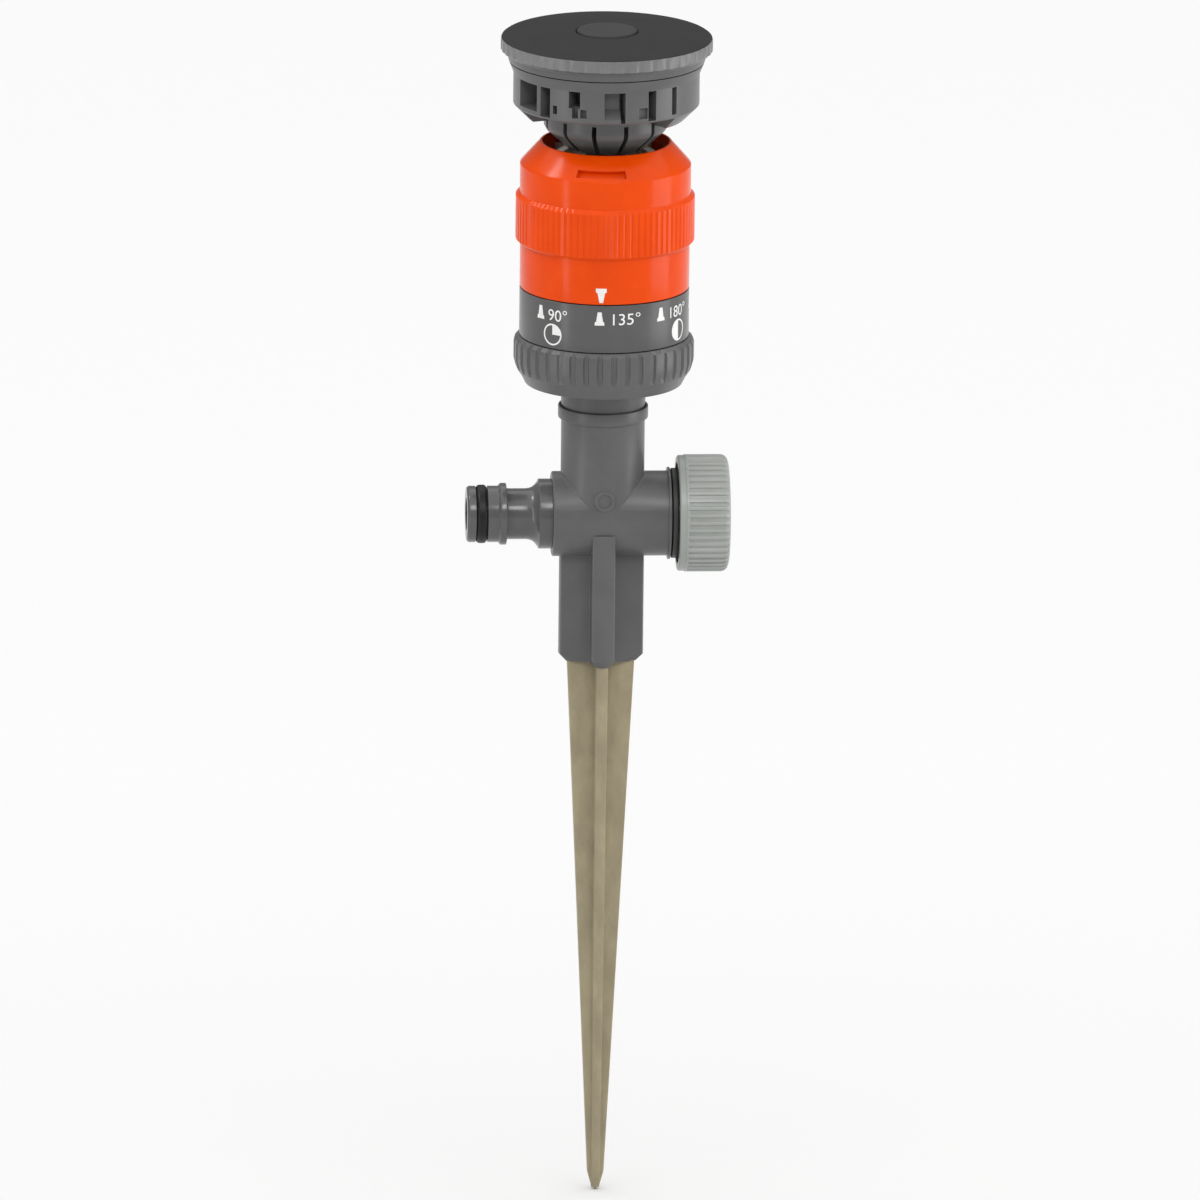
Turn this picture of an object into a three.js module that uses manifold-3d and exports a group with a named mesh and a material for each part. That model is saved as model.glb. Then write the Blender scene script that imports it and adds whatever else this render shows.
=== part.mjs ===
// A lawn sprinkler on a ground spike. Water comes in through the hose connector, past a screw valve that
// the side knob works, and up the riser into the head. There it turns a small turbine, whose geared-down
// shaft spins the spray head. The orange ring sets the watered sector: it turns a helical sleeve over a
// helical seat.
//
// Millimetres, +Z up. The origin is on the spike's axis at the soil line, the underside of the spike socket.
// The hose connector points to -X, the flow knob to +X, and the dial's front is -Y.

import * as THREE from "three";
import { mergeVertices } from "three/addons/utils/BufferGeometryUtils.js";
import Module from "manifold-3d";

const wasm = await Module();
wasm.setup();

// ---------------------------------------------------------------- driving dimensions

const CLEAR = 0.3; // running clearance, and the gap between faces that meet
const SEAM = 0.1; // gap between pieces that are pressed or glued together

const ROUND = 28; // sides of the large round pieces
const MIDDLE = 18; // sides of the middle-sized ones
const SMALL = 12; // sides of pins, shafts and screws

// Ground spike
const SPIKE_DEPTH = 153.1; // soil line to tip
const BLADE_HALF_WIDTH = 9.4; // at the soil line
const BLADE_THICKNESS = 3.3;
const TIP_HALF_WIDTH = 2.3;
const TIP_THICKNESS = 2.4;
const TIP_LENGTH = 5;
const TONGUE_HEIGHT = 27.5; // the part of the spike inside the socket

// Valve body
const SOCKET_HALF_WIDTH = 11.9;
const SOCKET_ARM_WIDTH = 6.4;
const SOCKET_CHAMFER = 2;
const BARREL_HEIGHT = 42.25; // barrel axis above the soil line
const BARREL_RADIUS = 11.9;
const BARREL_LEFT = -14.2;
const BARREL_RIGHT = 18.9;
const BARREL_LIP = 0.7; // length of the rim at the knob end
const BARREL_LIP_RADIUS = 12.9;
const INLET_BORE = 8;
const SEAT_LEFT = -8; // the wall that carries the valve seat
const SEAT_RIGHT = -5;
const SEAT_HOLE = 4.2;
const CHAMBER_BORE = 9.5;
const RISER_RADIUS = 11.7;
const RISER_LIP_BOTTOM = 70.3;
const RISER_TOP = 73.8;
const RISER_LIP_RADIUS = 12.6;
const RISER_BORE = 9.3;
const RISER_BORE_BOTTOM = 59;
const RISER_PASSAGE = 4.8; // hole between the valve chamber and the riser
const CLIP_BOTTOM = 61.7; // groove for the clip that holds the head in the riser
const CLIP_TOP = 63.3;
const CLIP_GROOVE = 10;

// Hose connector, a standard quick-connect nose
const NOSE_TIP = -38;
const NOSE_RADIUS = 7.9;
const NOSE_BORE = 4.6;
const NOSE_RIDGE = 8.67;
const NOSE_NECK = 7.13;
const NOSE_COLLAR = 9.8;
const NOSE_GROOVE = 6.2; // radius at the bottom of the O-ring grooves
const O_RING_LEFT = -35.5; // the front groove
const O_RING_RIGHT = -32.2;
const RIDGE_LEFT = -28.6;
const RIDGE_RIGHT = -26.9;
const NECK_RIGHT = -19.6;
const SEAL_LEFT = -12.8; // the groove inside the barrel
const SEAL_RIGHT = -10.6;

// Flow valve
const VALVE_TRAVEL = 6;
const BONNET_FLANGE = 12.6;
const BONNET_LEFT = 19.3;
const BONNET_RIGHT = 20.7;
const BONNET_SKIRT_END = 3;
const PLUG_RADIUS = 6.2;
const PLUG_LEFT = SEAT_RIGHT + SEAM + VALVE_TRAVEL; // face of the washer with the valve open
const PLUG_RIGHT = 13.2;
const WASHER_THICKNESS = 1.6;
const SPINDLE_RADIUS = 3;
const SCREW_RADIUS = 2.6; // the spindle's screw, a plain rod here
const KEY_WIDTH = 2; // lugs that stop the plug from turning

// Flow knob
const KNOB_LEFT = 21;
const KNOB_RIGHT = 35.2;
const KNOB_RADIUS = 16.4;
const KNOB_WALL = 14.2; // inside radius of the skirt

// Swivel base and dial
const NECK_RADIUS = 11.8;
const NECK_BOTTOM = 73.2;
const CAP_BOTTOM = 80.5;
const CAP_RADIUS = 25.2;
const CAP_TOP = 94.05;
const CAP_INSIDE = 22.2;
const CAP_FLOOR = 84.5;
const SPIGOT_RADIUS = 9;
const SPIGOT_BOTTOM = 60;
const SPIGOT_BORE = 6.5;
const DIAL_RADIUS = 23.7;
const DIAL_BOTTOM = 94.3;
const DIAL_TOP = 107.9;
const TOWER_RADIUS = 20.5; // the sleeve that the orange ring turns on
const TOWER_BORE = 19.3;
const TOWER_TOP = 143;

// Sector ring
const RING_BOTTOM = DIAL_TOP + CLEAR;
const RING_RADIUS = 23.7;
const RING_BORE = 20.9;
const BAND_BOTTOM = 120.9;
const BAND_TOP = 135.3;
const BAND_RADIUS = 25;
const RING_SHOULDER = 143.8;
const RING_TOP = 149.6;
const RING_MOUTH = 17.8; // radius of the opening at the top
const ARMS = 4; // splines between the ring and the arc sleeve

// Arc valve
const ARC_LEAD = 3; // rise of the helix in one full turn
const ARC_AT_REST = 135; // degrees open
const ARC_INNER = 12.2;
const ARC_OUTER = 14.2;
const ARC_BASE = 137.5; // lowest point of the seat's helix
const ARC_FIXED_EDGE = -157.5; // degrees from +X, where the watered sector starts
const SLEEVE_TOP = 145.8;
const ARM_BOTTOM = 144.4;

// Turbine and gears
const MODULE = 0.5;
const WHEEL_TEETH = 26;
const PINION_TEETH = 10;
const GEAR_DISTANCE = (MODULE * (WHEEL_TEETH + PINION_TEETH)) / 2;
const BACKLASH = 0.2;
const FACE_WIDTH = 2.2;
const LOWER_GEARS = 107.7; // underside of the turbine's pinion and the wheel it drives
const UPPER_GEARS = 110.9;
const CASE_OFFSET = GEAR_DISTANCE / 2; // the gear case is centred between the two shafts
const CASE_RADIUS = 13.2;
const CASE_BORE = 12;
const CASE_BOTTOM = 105;
const CASE_FLOOR = 107.2;
const CASE_TOP = 115;
const LID_TOP = 116.8;
const LID_SCREW_ANGLES = [90, 180, 270];
const LID_SCREW_CIRCLE = 14.4;
const PLATE_RADIUS = TOWER_BORE - CLEAR;
const TURBINE_BOTTOM = 99;
const TURBINE_TOP = 104;
const TURBINE_RADIUS = 15.2;
const TURBINE_BLADES = 10;
const BLADE_ANGLE = 35; // degrees from the turbine's plane of spin
const SHAFT_RADIUS = 2.5; // output shaft
const SHAFT_TOP = 168;

// Spray head
const ROTOR_BOTTOM = 148.2;
const ROTOR_WALL = 17.4; // the lower wall, which the slits cut
const ROTOR_CORE = 19.2; // the wall behind the teeth
const ROTOR_SHOULDER = 159.2; // where the one widens to the other
const SIDE_TEETH_BOTTOM = 156.8; // the broad teeth at the two sides reach lower than the others
const TEETH_BOTTOM = 160.4;
const TEETH_CHAMFER = 4; // on the lower corner of the side teeth
const FLANGE_BOTTOM = 169.5;
const FLANGE_TOP = 172.7;
const FLANGE_RADIUS = 26;
const SLITS = 12;
const SLIT_WIDTH = 1.4;
const SLIT_TOP = 157.6;
const FIRST_SLIT = -131; // degrees from +X
const DISC_BOTTOM = 173;
const DISC_RADIUS = 29.6;
const DISC_RIM_BOTTOM = 176.8;
const DISC_RIM_TOP = 179.2;
const HEAD_TOP = 181.5;
const BOSS_RADIUS = 8.4;

// The windows between the rotor's teeth, as [start, end] degrees from the front. The back half repeats them.
const WINDOWS = [
  [-67.6, -48],
  [-45, -37],
  [-23.8, -16.2],
  [-1.2, 12],
  [26.9, 32.5],
  [44.8, 49],
];

// ---------------------------------------------------------------- solids

// A closed mesh as a solid with its faces pointing out.
function toSolid(geometry) {
  const bare = geometry.index ? geometry.toNonIndexed() : geometry.clone();
  bare.deleteAttribute("normal");
  bare.deleteAttribute("uv");
  const merged = mergeVertices(bare, 1e-4);
  const index = merged.index.array;
  const corners = [];
  for (let i = 0; i < index.length; i += 3) {
    const [a, b, c] = index.slice(i, i + 3);
    if (a !== b && b !== c && c !== a) corners.push(a, b, c);
  }
  const build = () =>
    new wasm.Manifold(
      new wasm.Mesh({
        numProp: 3,
        vertProperties: merged.attributes.position.array,
        triVerts: new Uint32Array(corners),
      }),
    );
  const made = build();
  if (made.volume() > 0) return made;
  corners.reverse();
  return build();
}

function join(first, ...others) {
  return others.reduce((solid, other) => solid.add(toSolid(other)), toSolid(first));
}

function cut(solid, ...tools) {
  return tools.reduce((left, tool) => left.subtract(toSolid(tool)), solid);
}

function toGeometry(solid) {
  const mesh = solid.getMesh();
  const geometry = new THREE.BufferGeometry();
  geometry.setAttribute("position", new THREE.BufferAttribute(mesh.vertProperties, 3));
  geometry.setIndex(new THREE.BufferAttribute(mesh.triVerts, 1));
  geometry.computeVertexNormals();
  return geometry;
}

// A closed outline of [radius, height] points, turned about Z.
function turned(outline, sides = ROUND) {
  const points = outline.map(([radius, height]) => new THREE.Vector2(radius, height));
  points.push(points[0].clone());
  return new THREE.LatheGeometry(points, sides).rotateX(Math.PI / 2);
}

function tube(inner, outer, bottom, top, sides = ROUND) {
  return turned([[inner, bottom], [outer, bottom], [outer, top], [inner, top]], sides);
}

function rod(radius, bottom, top, sides = SMALL) {
  return new THREE.CylinderGeometry(radius, radius, top - bottom, sides)
    .rotateX(Math.PI / 2)
    .translate(0, 0, (bottom + top) / 2);
}

function block([x0, x1], [y0, y1], [z0, z1]) {
  return new THREE.BoxGeometry(x1 - x0, y1 - y0, z1 - z0)
    .translate((x0 + x1) / 2, (y0 + y1) / 2, (z0 + z1) / 2);
}

function ring(radius, thickness) {
  return new THREE.TorusGeometry(radius, thickness, 6, MIDDLE);
}

function extruded(shape, bottom, top, curveSegments = 12) {
  return new THREE.ExtrudeGeometry(shape, { depth: top - bottom, bevelEnabled: false, curveSegments })
    .translate(0, 0, bottom);
}

const radians = THREE.MathUtils.degToRad;

// Copies of a geometry, turned about Z in equal steps.
function around(count, make, start = 0) {
  return Array.from({ length: count }, (_, i) => make().rotateZ(start + (i * 2 * Math.PI) / count));
}

// A sector of a flat ring, from and to angles in degrees from the front.
function sector(inner, outer, from, to, bottom, top) {
  const shape = new THREE.Shape();
  const [start, end] = [radians(from - 90), radians(to - 90)];
  shape.absarc(0, 0, outer, start, end, false);
  shape.absarc(0, 0, inner, end, start, true);
  return extruded(shape, bottom, top, Math.ceil((to - from) / 15));
}

// A spur gear with a tooth on +X. Its flanks are straight, as wide at root and tip as the involute tooth is.
function gear(teeth, bottom, top, bore) {
  const pitch = (MODULE * teeth) / 2;
  const base = pitch * Math.cos(radians(20));
  const tip = pitch + 0.85 * MODULE;
  const root = pitch - 1.25 * MODULE;
  const involute = (radius) => {
    const angle = Math.acos(Math.min(1, base / radius));
    return Math.tan(angle) - angle;
  };
  const halfTooth = Math.PI / (2 * teeth) - BACKLASH / (4 * pitch);
  const halfAt = (radius) => halfTooth + involute(pitch) - involute(Math.max(radius, base));
  const foot = halfAt(base) * (root < base ? 0.8 : 1);
  const flank = [[root, foot], [tip, halfAt(tip)]];
  const profile = [...flank.map(([radius, half]) => [radius, -half]), ...flank.toReversed()];
  const corners = [];
  for (let tooth = 0; tooth < teeth; tooth += 1) {
    for (const [radius, half] of profile) {
      const angle = (tooth * 2 * Math.PI) / teeth + half;
      corners.push(new THREE.Vector2(radius * Math.cos(angle), radius * Math.sin(angle)));
    }
  }
  const shape = new THREE.Shape(corners);
  if (bore) shape.holes.push(new THREE.Path().absarc(0, 0, bore, 0, 2 * Math.PI, true));
  return extruded(shape, bottom, top, SMALL / 2);
}

// A bar bent into one turn about Z, with its bottom and top given as heights by the share of the turn.
function bentBar(inner, outer, bottomAt, topAt) {
  const geometry = new THREE.BoxGeometry(1, 1, 1, ROUND, 1, 1);
  const turn = radians(359);
  const place = geometry.attributes.position;
  for (let i = 0; i < place.count; i += 1) {
    const share = place.getX(i) + 0.5;
    const radius = place.getY(i) < 0 ? inner : outer;
    const height = place.getZ(i) < 0 ? bottomAt(share) : topAt(share);
    place.setXYZ(i, radius * Math.cos(share * turn), radius * Math.sin(share * turn), height);
  }
  return geometry;
}

// ---------------------------------------------------------------- the scene graph

const sprinkler = new THREE.Group();

// The pieces on the barrel's axis are made with their axis on Z, which this group lays along +X.
const valve = new THREE.Group();
valve.position.z = BARREL_HEIGHT;
valve.rotation.y = Math.PI / 2;
sprinkler.add(valve);

// The layshaft stands beside the head's axis.
const layshaft = new THREE.Group();
layshaft.position.x = GEAR_DISTANCE;
sprinkler.add(layshaft);

function plastic(color, roughness = 0.5) {
  return new THREE.MeshStandardMaterial({ color, roughness, metalness: 0 });
}

function steel() {
  return new THREE.MeshStandardMaterial({ color: 0xb8bcc0, roughness: 0.3, metalness: 1 });
}

function add(parent, name, shape, material) {
  const geometry = shape.isBufferGeometry ? shape : toGeometry(shape);
  const mesh = new THREE.Mesh(geometry, material);
  mesh.name = name;
  parent.add(mesh);
  return mesh;
}

const GREY = 0x6b6b6b;
const DARK_GREY = 0x565656;
const ORANGE = 0xe2501f;
const CHAMPAGNE = 0x9a9078;
const KNOB_GREY = 0x9ea09c;
const RUBBER = 0x161616;
const NATURAL = 0xe6e2d6; // unpigmented acetal of the hidden moving parts

// ---------------------------------------------------------------- ground spike

// One of the two crossed blades. It tapers in width and in thickness from the soil line to the tip.
function spikeBlade() {
  const shape = new THREE.Shape();
  const shoulder = TIP_LENGTH - SPIKE_DEPTH;
  shape.moveTo(-BLADE_HALF_WIDTH, TONGUE_HEIGHT);
  shape.lineTo(-BLADE_HALF_WIDTH, 0);
  shape.lineTo(-TIP_HALF_WIDTH, shoulder);
  shape.quadraticCurveTo(-TIP_HALF_WIDTH * 0.8, -SPIKE_DEPTH, 0, -SPIKE_DEPTH);
  shape.quadraticCurveTo(TIP_HALF_WIDTH * 0.8, -SPIKE_DEPTH, TIP_HALF_WIDTH, shoulder);
  shape.lineTo(BLADE_HALF_WIDTH, 0);
  shape.lineTo(BLADE_HALF_WIDTH, TONGUE_HEIGHT);
  const geometry = extruded(shape, -BLADE_THICKNESS / 2, BLADE_THICKNESS / 2, 4).rotateX(Math.PI / 2);
  const place = geometry.attributes.position;
  for (let i = 0; i < place.count; i += 1) {
    const share = THREE.MathUtils.clamp(-place.getZ(i) / SPIKE_DEPTH, 0, 1);
    const thickness = THREE.MathUtils.lerp(BLADE_THICKNESS, TIP_THICKNESS, share);
    place.setY(i, (Math.sign(place.getY(i)) * thickness) / 2);
  }
  return geometry;
}

const spike = join(spikeBlade(), spikeBlade().rotateZ(Math.PI / 2));
add(sprinkler, "ground_spike", spike, plastic(CHAMPAGNE, 0.45));

// ---------------------------------------------------------------- valve body

function crossArms(halfLength, width, bottom, top) {
  const arm = () => block([-halfLength, halfLength], [-width / 2, width / 2], [bottom, top]);
  return join(arm(), arm().rotateZ(Math.PI / 2));
}

function valveBody() {
  const rimStart = BARREL_RIGHT - BARREL_LIP;
  const socketTop = BARREL_HEIGHT - BARREL_RADIUS / 2;
  const socketRound = turned([
    [0, 0],
    [SOCKET_HALF_WIDTH - SOCKET_CHAMFER, 0],
    [SOCKET_HALF_WIDTH, SOCKET_CHAMFER],
    [SOCKET_HALF_WIDTH, socketTop],
    [0, socketTop],
  ]);
  const socket = crossArms(SOCKET_HALF_WIDTH + 1, SOCKET_ARM_WIDTH, 0, socketTop)
    .intersect(toSolid(socketRound));
  const barrel = turned([
    [0, BARREL_LEFT],
    [BARREL_RADIUS, BARREL_LEFT],
    [BARREL_RADIUS, rimStart],
    [BARREL_LIP_RADIUS, rimStart],
    [BARREL_LIP_RADIUS, BARREL_RIGHT],
    [0, BARREL_RIGHT],
  ]);
  const riser = turned([
    [0, BARREL_HEIGHT],
    [RISER_RADIUS, BARREL_HEIGHT],
    [RISER_RADIUS, RISER_LIP_BOTTOM],
    [RISER_LIP_RADIUS, RISER_LIP_BOTTOM],
    [RISER_LIP_RADIUS, RISER_TOP],
    [0, RISER_TOP],
  ]);
  const frontBoss = rod(2.9, 9, RISER_RADIUS + 0.4)
    .rotateX(Math.PI / 2)
    .translate(0, 0, BARREL_HEIGHT + 6.3);
  const layDown = (geometry) => geometry.rotateY(Math.PI / 2).translate(0, 0, BARREL_HEIGHT);
  const outside = socket
    .add(toSolid(layDown(barrel)))
    .add(toSolid(riser))
    .add(toSolid(frontBoss));
  const waterway = turned([
    [0, BARREL_LEFT - 1],
    [INLET_BORE, BARREL_LEFT - 1],
    [INLET_BORE, SEAT_LEFT],
    [SEAT_HOLE, SEAT_LEFT],
    [SEAT_HOLE, SEAT_RIGHT],
    [CHAMBER_BORE, SEAT_RIGHT],
    [CHAMBER_BORE, BARREL_RIGHT + 1],
    [0, BARREL_RIGHT + 1],
  ]);
  const riserBore = turned([
    [0, BARREL_HEIGHT],
    [RISER_PASSAGE, BARREL_HEIGHT],
    [RISER_PASSAGE, RISER_BORE_BOTTOM],
    [RISER_BORE, RISER_BORE_BOTTOM],
    [RISER_BORE, CLIP_BOTTOM],
    [CLIP_GROOVE, CLIP_BOTTOM],
    [CLIP_GROOVE, CLIP_TOP],
    [RISER_BORE, CLIP_TOP],
    [RISER_BORE, NECK_BOTTOM - CLEAR],
    [NECK_RADIUS + CLEAR, NECK_BOTTOM - CLEAR],
    [NECK_RADIUS + CLEAR, RISER_TOP + 1],
    [0, RISER_TOP + 1],
  ]);
  const pocket = crossArms(
    BLADE_HALF_WIDTH + CLEAR,
    BLADE_THICKNESS + 2 * CLEAR,
    -1,
    TONGUE_HEIGHT + CLEAR,
  );
  return cut(outside, layDown(waterway), riserBore).subtract(pocket);
}

add(sprinkler, "valve_body", valveBody(), plastic(GREY));

// ---------------------------------------------------------------- hose connector

add(
  valve,
  "hose_connector",
  turned([
    [NOSE_BORE, NOSE_TIP],
    [NOSE_RADIUS - 0.5, NOSE_TIP],
    [NOSE_RADIUS, NOSE_TIP + 0.5],
    [NOSE_RADIUS, O_RING_LEFT],
    [NOSE_GROOVE, O_RING_LEFT],
    [NOSE_GROOVE, O_RING_RIGHT],
    [NOSE_RADIUS, O_RING_RIGHT],
    [NOSE_RADIUS, RIDGE_LEFT - 0.6],
    [NOSE_RIDGE, RIDGE_LEFT],
    [NOSE_RIDGE, RIDGE_RIGHT],
    [NOSE_NECK, RIDGE_RIGHT],
    [NOSE_NECK, NECK_RIGHT],
    [7.6, -18.8],
    [9, -18.2],
    [NOSE_COLLAR, -17.9],
    [NOSE_COLLAR, BARREL_LEFT - SEAM],
    [INLET_BORE - CLEAR, BARREL_LEFT - SEAM],
    [INLET_BORE - CLEAR, SEAL_LEFT],
    [NOSE_GROOVE, SEAL_LEFT],
    [NOSE_GROOVE, SEAL_RIGHT],
    [INLET_BORE - CLEAR, SEAL_RIGHT],
    [INLET_BORE - CLEAR, SEAT_LEFT - CLEAR],
    [NOSE_BORE, SEAT_LEFT - CLEAR],
  ], MIDDLE),
  plastic(GREY, 0.4),
);

const hoseRing = add(valve, "hose_o_ring", ring(7.25, 0.93), plastic(RUBBER, 0.7));
hoseRing.position.z = (O_RING_LEFT + O_RING_RIGHT) / 2;
const connectorSeal = add(valve, "connector_seal", ring(7.1, 0.75), plastic(RUBBER, 0.7));
connectorSeal.position.z = (SEAL_LEFT + SEAL_RIGHT) / 2;

function inletStrainer() {
  const [front, back, radius] = [-30, -20, NOSE_BORE - CLEAR];
  const cup = turned([
    [0, front],
    [radius, front],
    [radius, back],
    [radius - 0.8, back],
    [radius - 0.8, front + 0.8],
    [0, front + 0.8],
  ], MIDDLE);
  const hole = () => rod(0.6, front - 1, front + 2, 8);
  const holes = around(6, () => hole().translate(2.2, 0, 0));
  return cut(toSolid(cup), hole(), ...holes);
}

add(valve, "inlet_strainer", inletStrainer(), plastic(NATURAL));

// ---------------------------------------------------------------- flow valve

function valveBonnet() {
  const skirt = CHAMBER_BORE - CLEAR;
  const bore = PLUG_RADIUS + 0.4;
  const body = turned([
    [SPINDLE_RADIUS + CLEAR, BONNET_RIGHT],
    [BONNET_FLANGE, BONNET_RIGHT],
    [BONNET_FLANGE, BONNET_LEFT],
    [skirt, BONNET_LEFT],
    [skirt, 17.6],
    [7.7, 17.6],
    [7.7, 15.4],
    [skirt, 15.4],
    [skirt, BONNET_SKIRT_END],
    [bore, BONNET_SKIRT_END],
    [bore, 16],
    [SPINDLE_RADIUS + CLEAR, 16],
  ], MIDDLE);
  const half = KEY_WIDTH / 2 + CLEAR;
  const keyways = block([-half, half], [-7.9, 7.9], [BONNET_SKIRT_END - 1, 14]);
  return cut(toSolid(body), keyways);
}

function valveSpindle() {
  const body = turned([
    [0, 4.6],
    [SCREW_RADIUS, 4.6],
    [SCREW_RADIUS, PLUG_RIGHT + CLEAR],
    [4.6, PLUG_RIGHT + CLEAR],
    [4.6, 15.7],
    [SPINDLE_RADIUS, 15.7],
    [SPINDLE_RADIUS, 17.5],
    [2.1, 17.5],
    [2.1, 19.1],
    [SPINDLE_RADIUS, 19.1],
    [SPINDLE_RADIUS, KNOB_LEFT - SEAM],
    [2.5, KNOB_LEFT - SEAM],
    [2.5, 29.5],
    [1.25, 29.5],
    [1.25, 23.5],
    [0, 23.5],
  ], SMALL);
  const flat = (side) => block([side * 1.9, side * 4].sort((a, b) => a - b), [-4, 4], [22, 30]);
  return cut(toSolid(body), flat(1), flat(-1));
}

function valvePlug() {
  const left = PLUG_LEFT + WASHER_THICKNESS + SEAM;
  const body = turned([
    [1.4, left],
    [PLUG_RADIUS, left],
    [PLUG_RADIUS, PLUG_RIGHT],
    [SCREW_RADIUS + CLEAR, PLUG_RIGHT],
    [SCREW_RADIUS + CLEAR, left + 1.5],
    [1.4, left + 1.5],
  ], MIDDLE);
  const lug = (side) => {
    const reach = [side * 5.5, side * 7.6].sort((a, b) => a - b);
    return block([-KEY_WIDTH / 2, KEY_WIDTH / 2], reach, [10.5, PLUG_RIGHT]);
  };
  return join(body, lug(1), lug(-1));
}

add(valve, "valve_bonnet", valveBonnet(), plastic(DARK_GREY));
add(valve, "bonnet_o_ring", ring(8.72, 0.65), plastic(RUBBER, 0.7)).position.z = 16.5;
add(valve, "valve_spindle", valveSpindle(), plastic(NATURAL));
add(valve, "spindle_o_ring", ring(2.68, 0.5), plastic(RUBBER, 0.7)).position.z = 18.3;
add(valve, "valve_plug", valvePlug(), plastic(NATURAL));
const washer = add(valve, "valve_washer", tube(1.4, 5.4, 0, WASHER_THICKNESS, MIDDLE), plastic(RUBBER, 0.7));
washer.position.z = PLUG_LEFT;
add(
  valve,
  "washer_screw",
  turned([[0, -1.5], [2, -1.5], [2, -SEAM], [1.2, -SEAM], [1.2, 2.9], [0, 2.9]], SMALL),
  steel(),
).position.z = PLUG_LEFT;

// ---------------------------------------------------------------- flow knob

function flowKnob() {
  const cup = turned([
    [1.5, 29.8],
    [2.8, 29.8],
    [2.8, KNOB_LEFT + 0.2],
    [5.4, KNOB_LEFT + 0.2],
    [5.4, 32.4],
    [KNOB_WALL, 32.4],
    [KNOB_WALL, KNOB_LEFT],
    [KNOB_RADIUS - 0.6, KNOB_LEFT],
    [KNOB_RADIUS - 0.2, KNOB_LEFT + 0.4],
    [KNOB_RADIUS - 0.2, KNOB_LEFT + 1.8],
    [KNOB_RADIUS, KNOB_LEFT + 2],
    [KNOB_RADIUS, KNOB_RIGHT - 1.7],
    [KNOB_RADIUS - 2, KNOB_RIGHT],
    [6, KNOB_RIGHT],
    [6, 31.4],
    [1.5, 31.4],
  ]);
  const flat = (side) => block([side * 2.2, side * 3.5].sort((a, b) => a - b), [-1.9, 1.9], [22.2, 29.9]);
  return join(cup, flat(1), flat(-1));
}

add(valve, "flow_knob", flowKnob(), plastic(KNOB_GREY));
add(
  valve,
  "knob_screw",
  turned([[0, 24.5], [1.1, 24.5], [1.1, 31.5], [2.9, 31.5], [2.9, 33], [0, 33]], SMALL),
  steel(),
);
add(
  valve,
  "knob_cap",
  turned([[0, 33.8], [5.7, 33.8], [5.7, 34.9], [5.4, KNOB_RIGHT], [0, KNOB_RIGHT]], MIDDLE),
  plastic(KNOB_GREY),
);

// ---------------------------------------------------------------- swivel base

add(
  sprinkler,
  "base_cap",
  turned([
    [SPIGOT_BORE, SPIGOT_BOTTOM],
    [SPIGOT_RADIUS - 0.5, SPIGOT_BOTTOM],
    [SPIGOT_RADIUS, SPIGOT_BOTTOM + 0.5],
    [SPIGOT_RADIUS, CLIP_BOTTOM],
    [8, CLIP_BOTTOM],
    [8, CLIP_TOP],
    [SPIGOT_RADIUS, CLIP_TOP],
    [SPIGOT_RADIUS, 66.4],
    [7.3, 66.4],
    [7.3, 68.6],
    [SPIGOT_RADIUS, 68.6],
    [SPIGOT_RADIUS, NECK_BOTTOM],
    [NECK_RADIUS, NECK_BOTTOM],
    [NECK_RADIUS, CAP_BOTTOM],
    [CAP_RADIUS - 3.2, CAP_BOTTOM],
    [CAP_RADIUS - 2.1, 82.7],
    [CAP_RADIUS - 0.9, 84.5],
    [CAP_RADIUS, 87.5],
    [CAP_RADIUS, CAP_TOP - 1.7],
    [DIAL_RADIUS, CAP_TOP],
    [CAP_INSIDE, CAP_TOP],
    [CAP_INSIDE, CAP_FLOOR],
    [SPIGOT_BORE, CAP_FLOOR],
  ]),
  plastic(GREY),
);

add(sprinkler, "swivel_o_ring", ring(8.4, 0.78), plastic(RUBBER, 0.7)).position.z = 67.5;

function swivelClip() {
  const [bottom, top] = [CLIP_BOTTOM + CLEAR, CLIP_TOP - CLEAR];
  return cut(toSolid(tube(8.2, 9.8, bottom, top, MIDDLE)), block([-2, 2], [0, 12], [bottom - 1, top + 1]));
}

add(sprinkler, "swivel_clip", swivelClip(), steel());

// ---------------------------------------------------------------- dial and tower

const TENON_RADIUS = CAP_INSIDE - CLEAR;
const BEAD_BOTTOM = 112.3; // a bead in the sector ring snaps into a groove here
const BEAD_TOP = 113.3;

add(
  sprinkler,
  "dial_housing",
  turned([
    [TOWER_BORE, 88],
    [TENON_RADIUS, 88],
    [TENON_RADIUS, 89.2],
    [20.4, 89.2],
    [20.4, 91.4],
    [TENON_RADIUS, 91.4],
    [TENON_RADIUS, DIAL_BOTTOM],
    [DIAL_RADIUS, DIAL_BOTTOM],
    [DIAL_RADIUS, DIAL_TOP],
    [TOWER_RADIUS, DIAL_TOP],
    [TOWER_RADIUS, BEAD_BOTTOM - CLEAR],
    [TOWER_RADIUS - 0.4, BEAD_BOTTOM - CLEAR],
    [TOWER_RADIUS - 0.4, BEAD_TOP + CLEAR],
    [TOWER_RADIUS, BEAD_TOP + CLEAR],
    [TOWER_RADIUS, TOWER_TOP],
    [TOWER_BORE, TOWER_TOP],
  ]),
  plastic(GREY, 0.4),
);

add(sprinkler, "housing_seal", ring(21.47, 0.58), plastic(RUBBER, 0.7)).position.z = 90.3;

// ---------------------------------------------------------------- turbine

function statorPlate() {
  const plate = turned([
    [0, 96],
    [PLATE_RADIUS, 96],
    [PLATE_RADIUS, 98],
    [1.3, 98],
    [1.3, 96.9],
    [0, 96.9],
  ]);
  const jet = () =>
    new THREE.BoxGeometry(5, 1.4, 6)
      .rotateX(radians(BLADE_ANGLE))
      .translate(12.5, 0, 97);
  return cut(toSolid(plate), ...around(8, jet));
}

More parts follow.
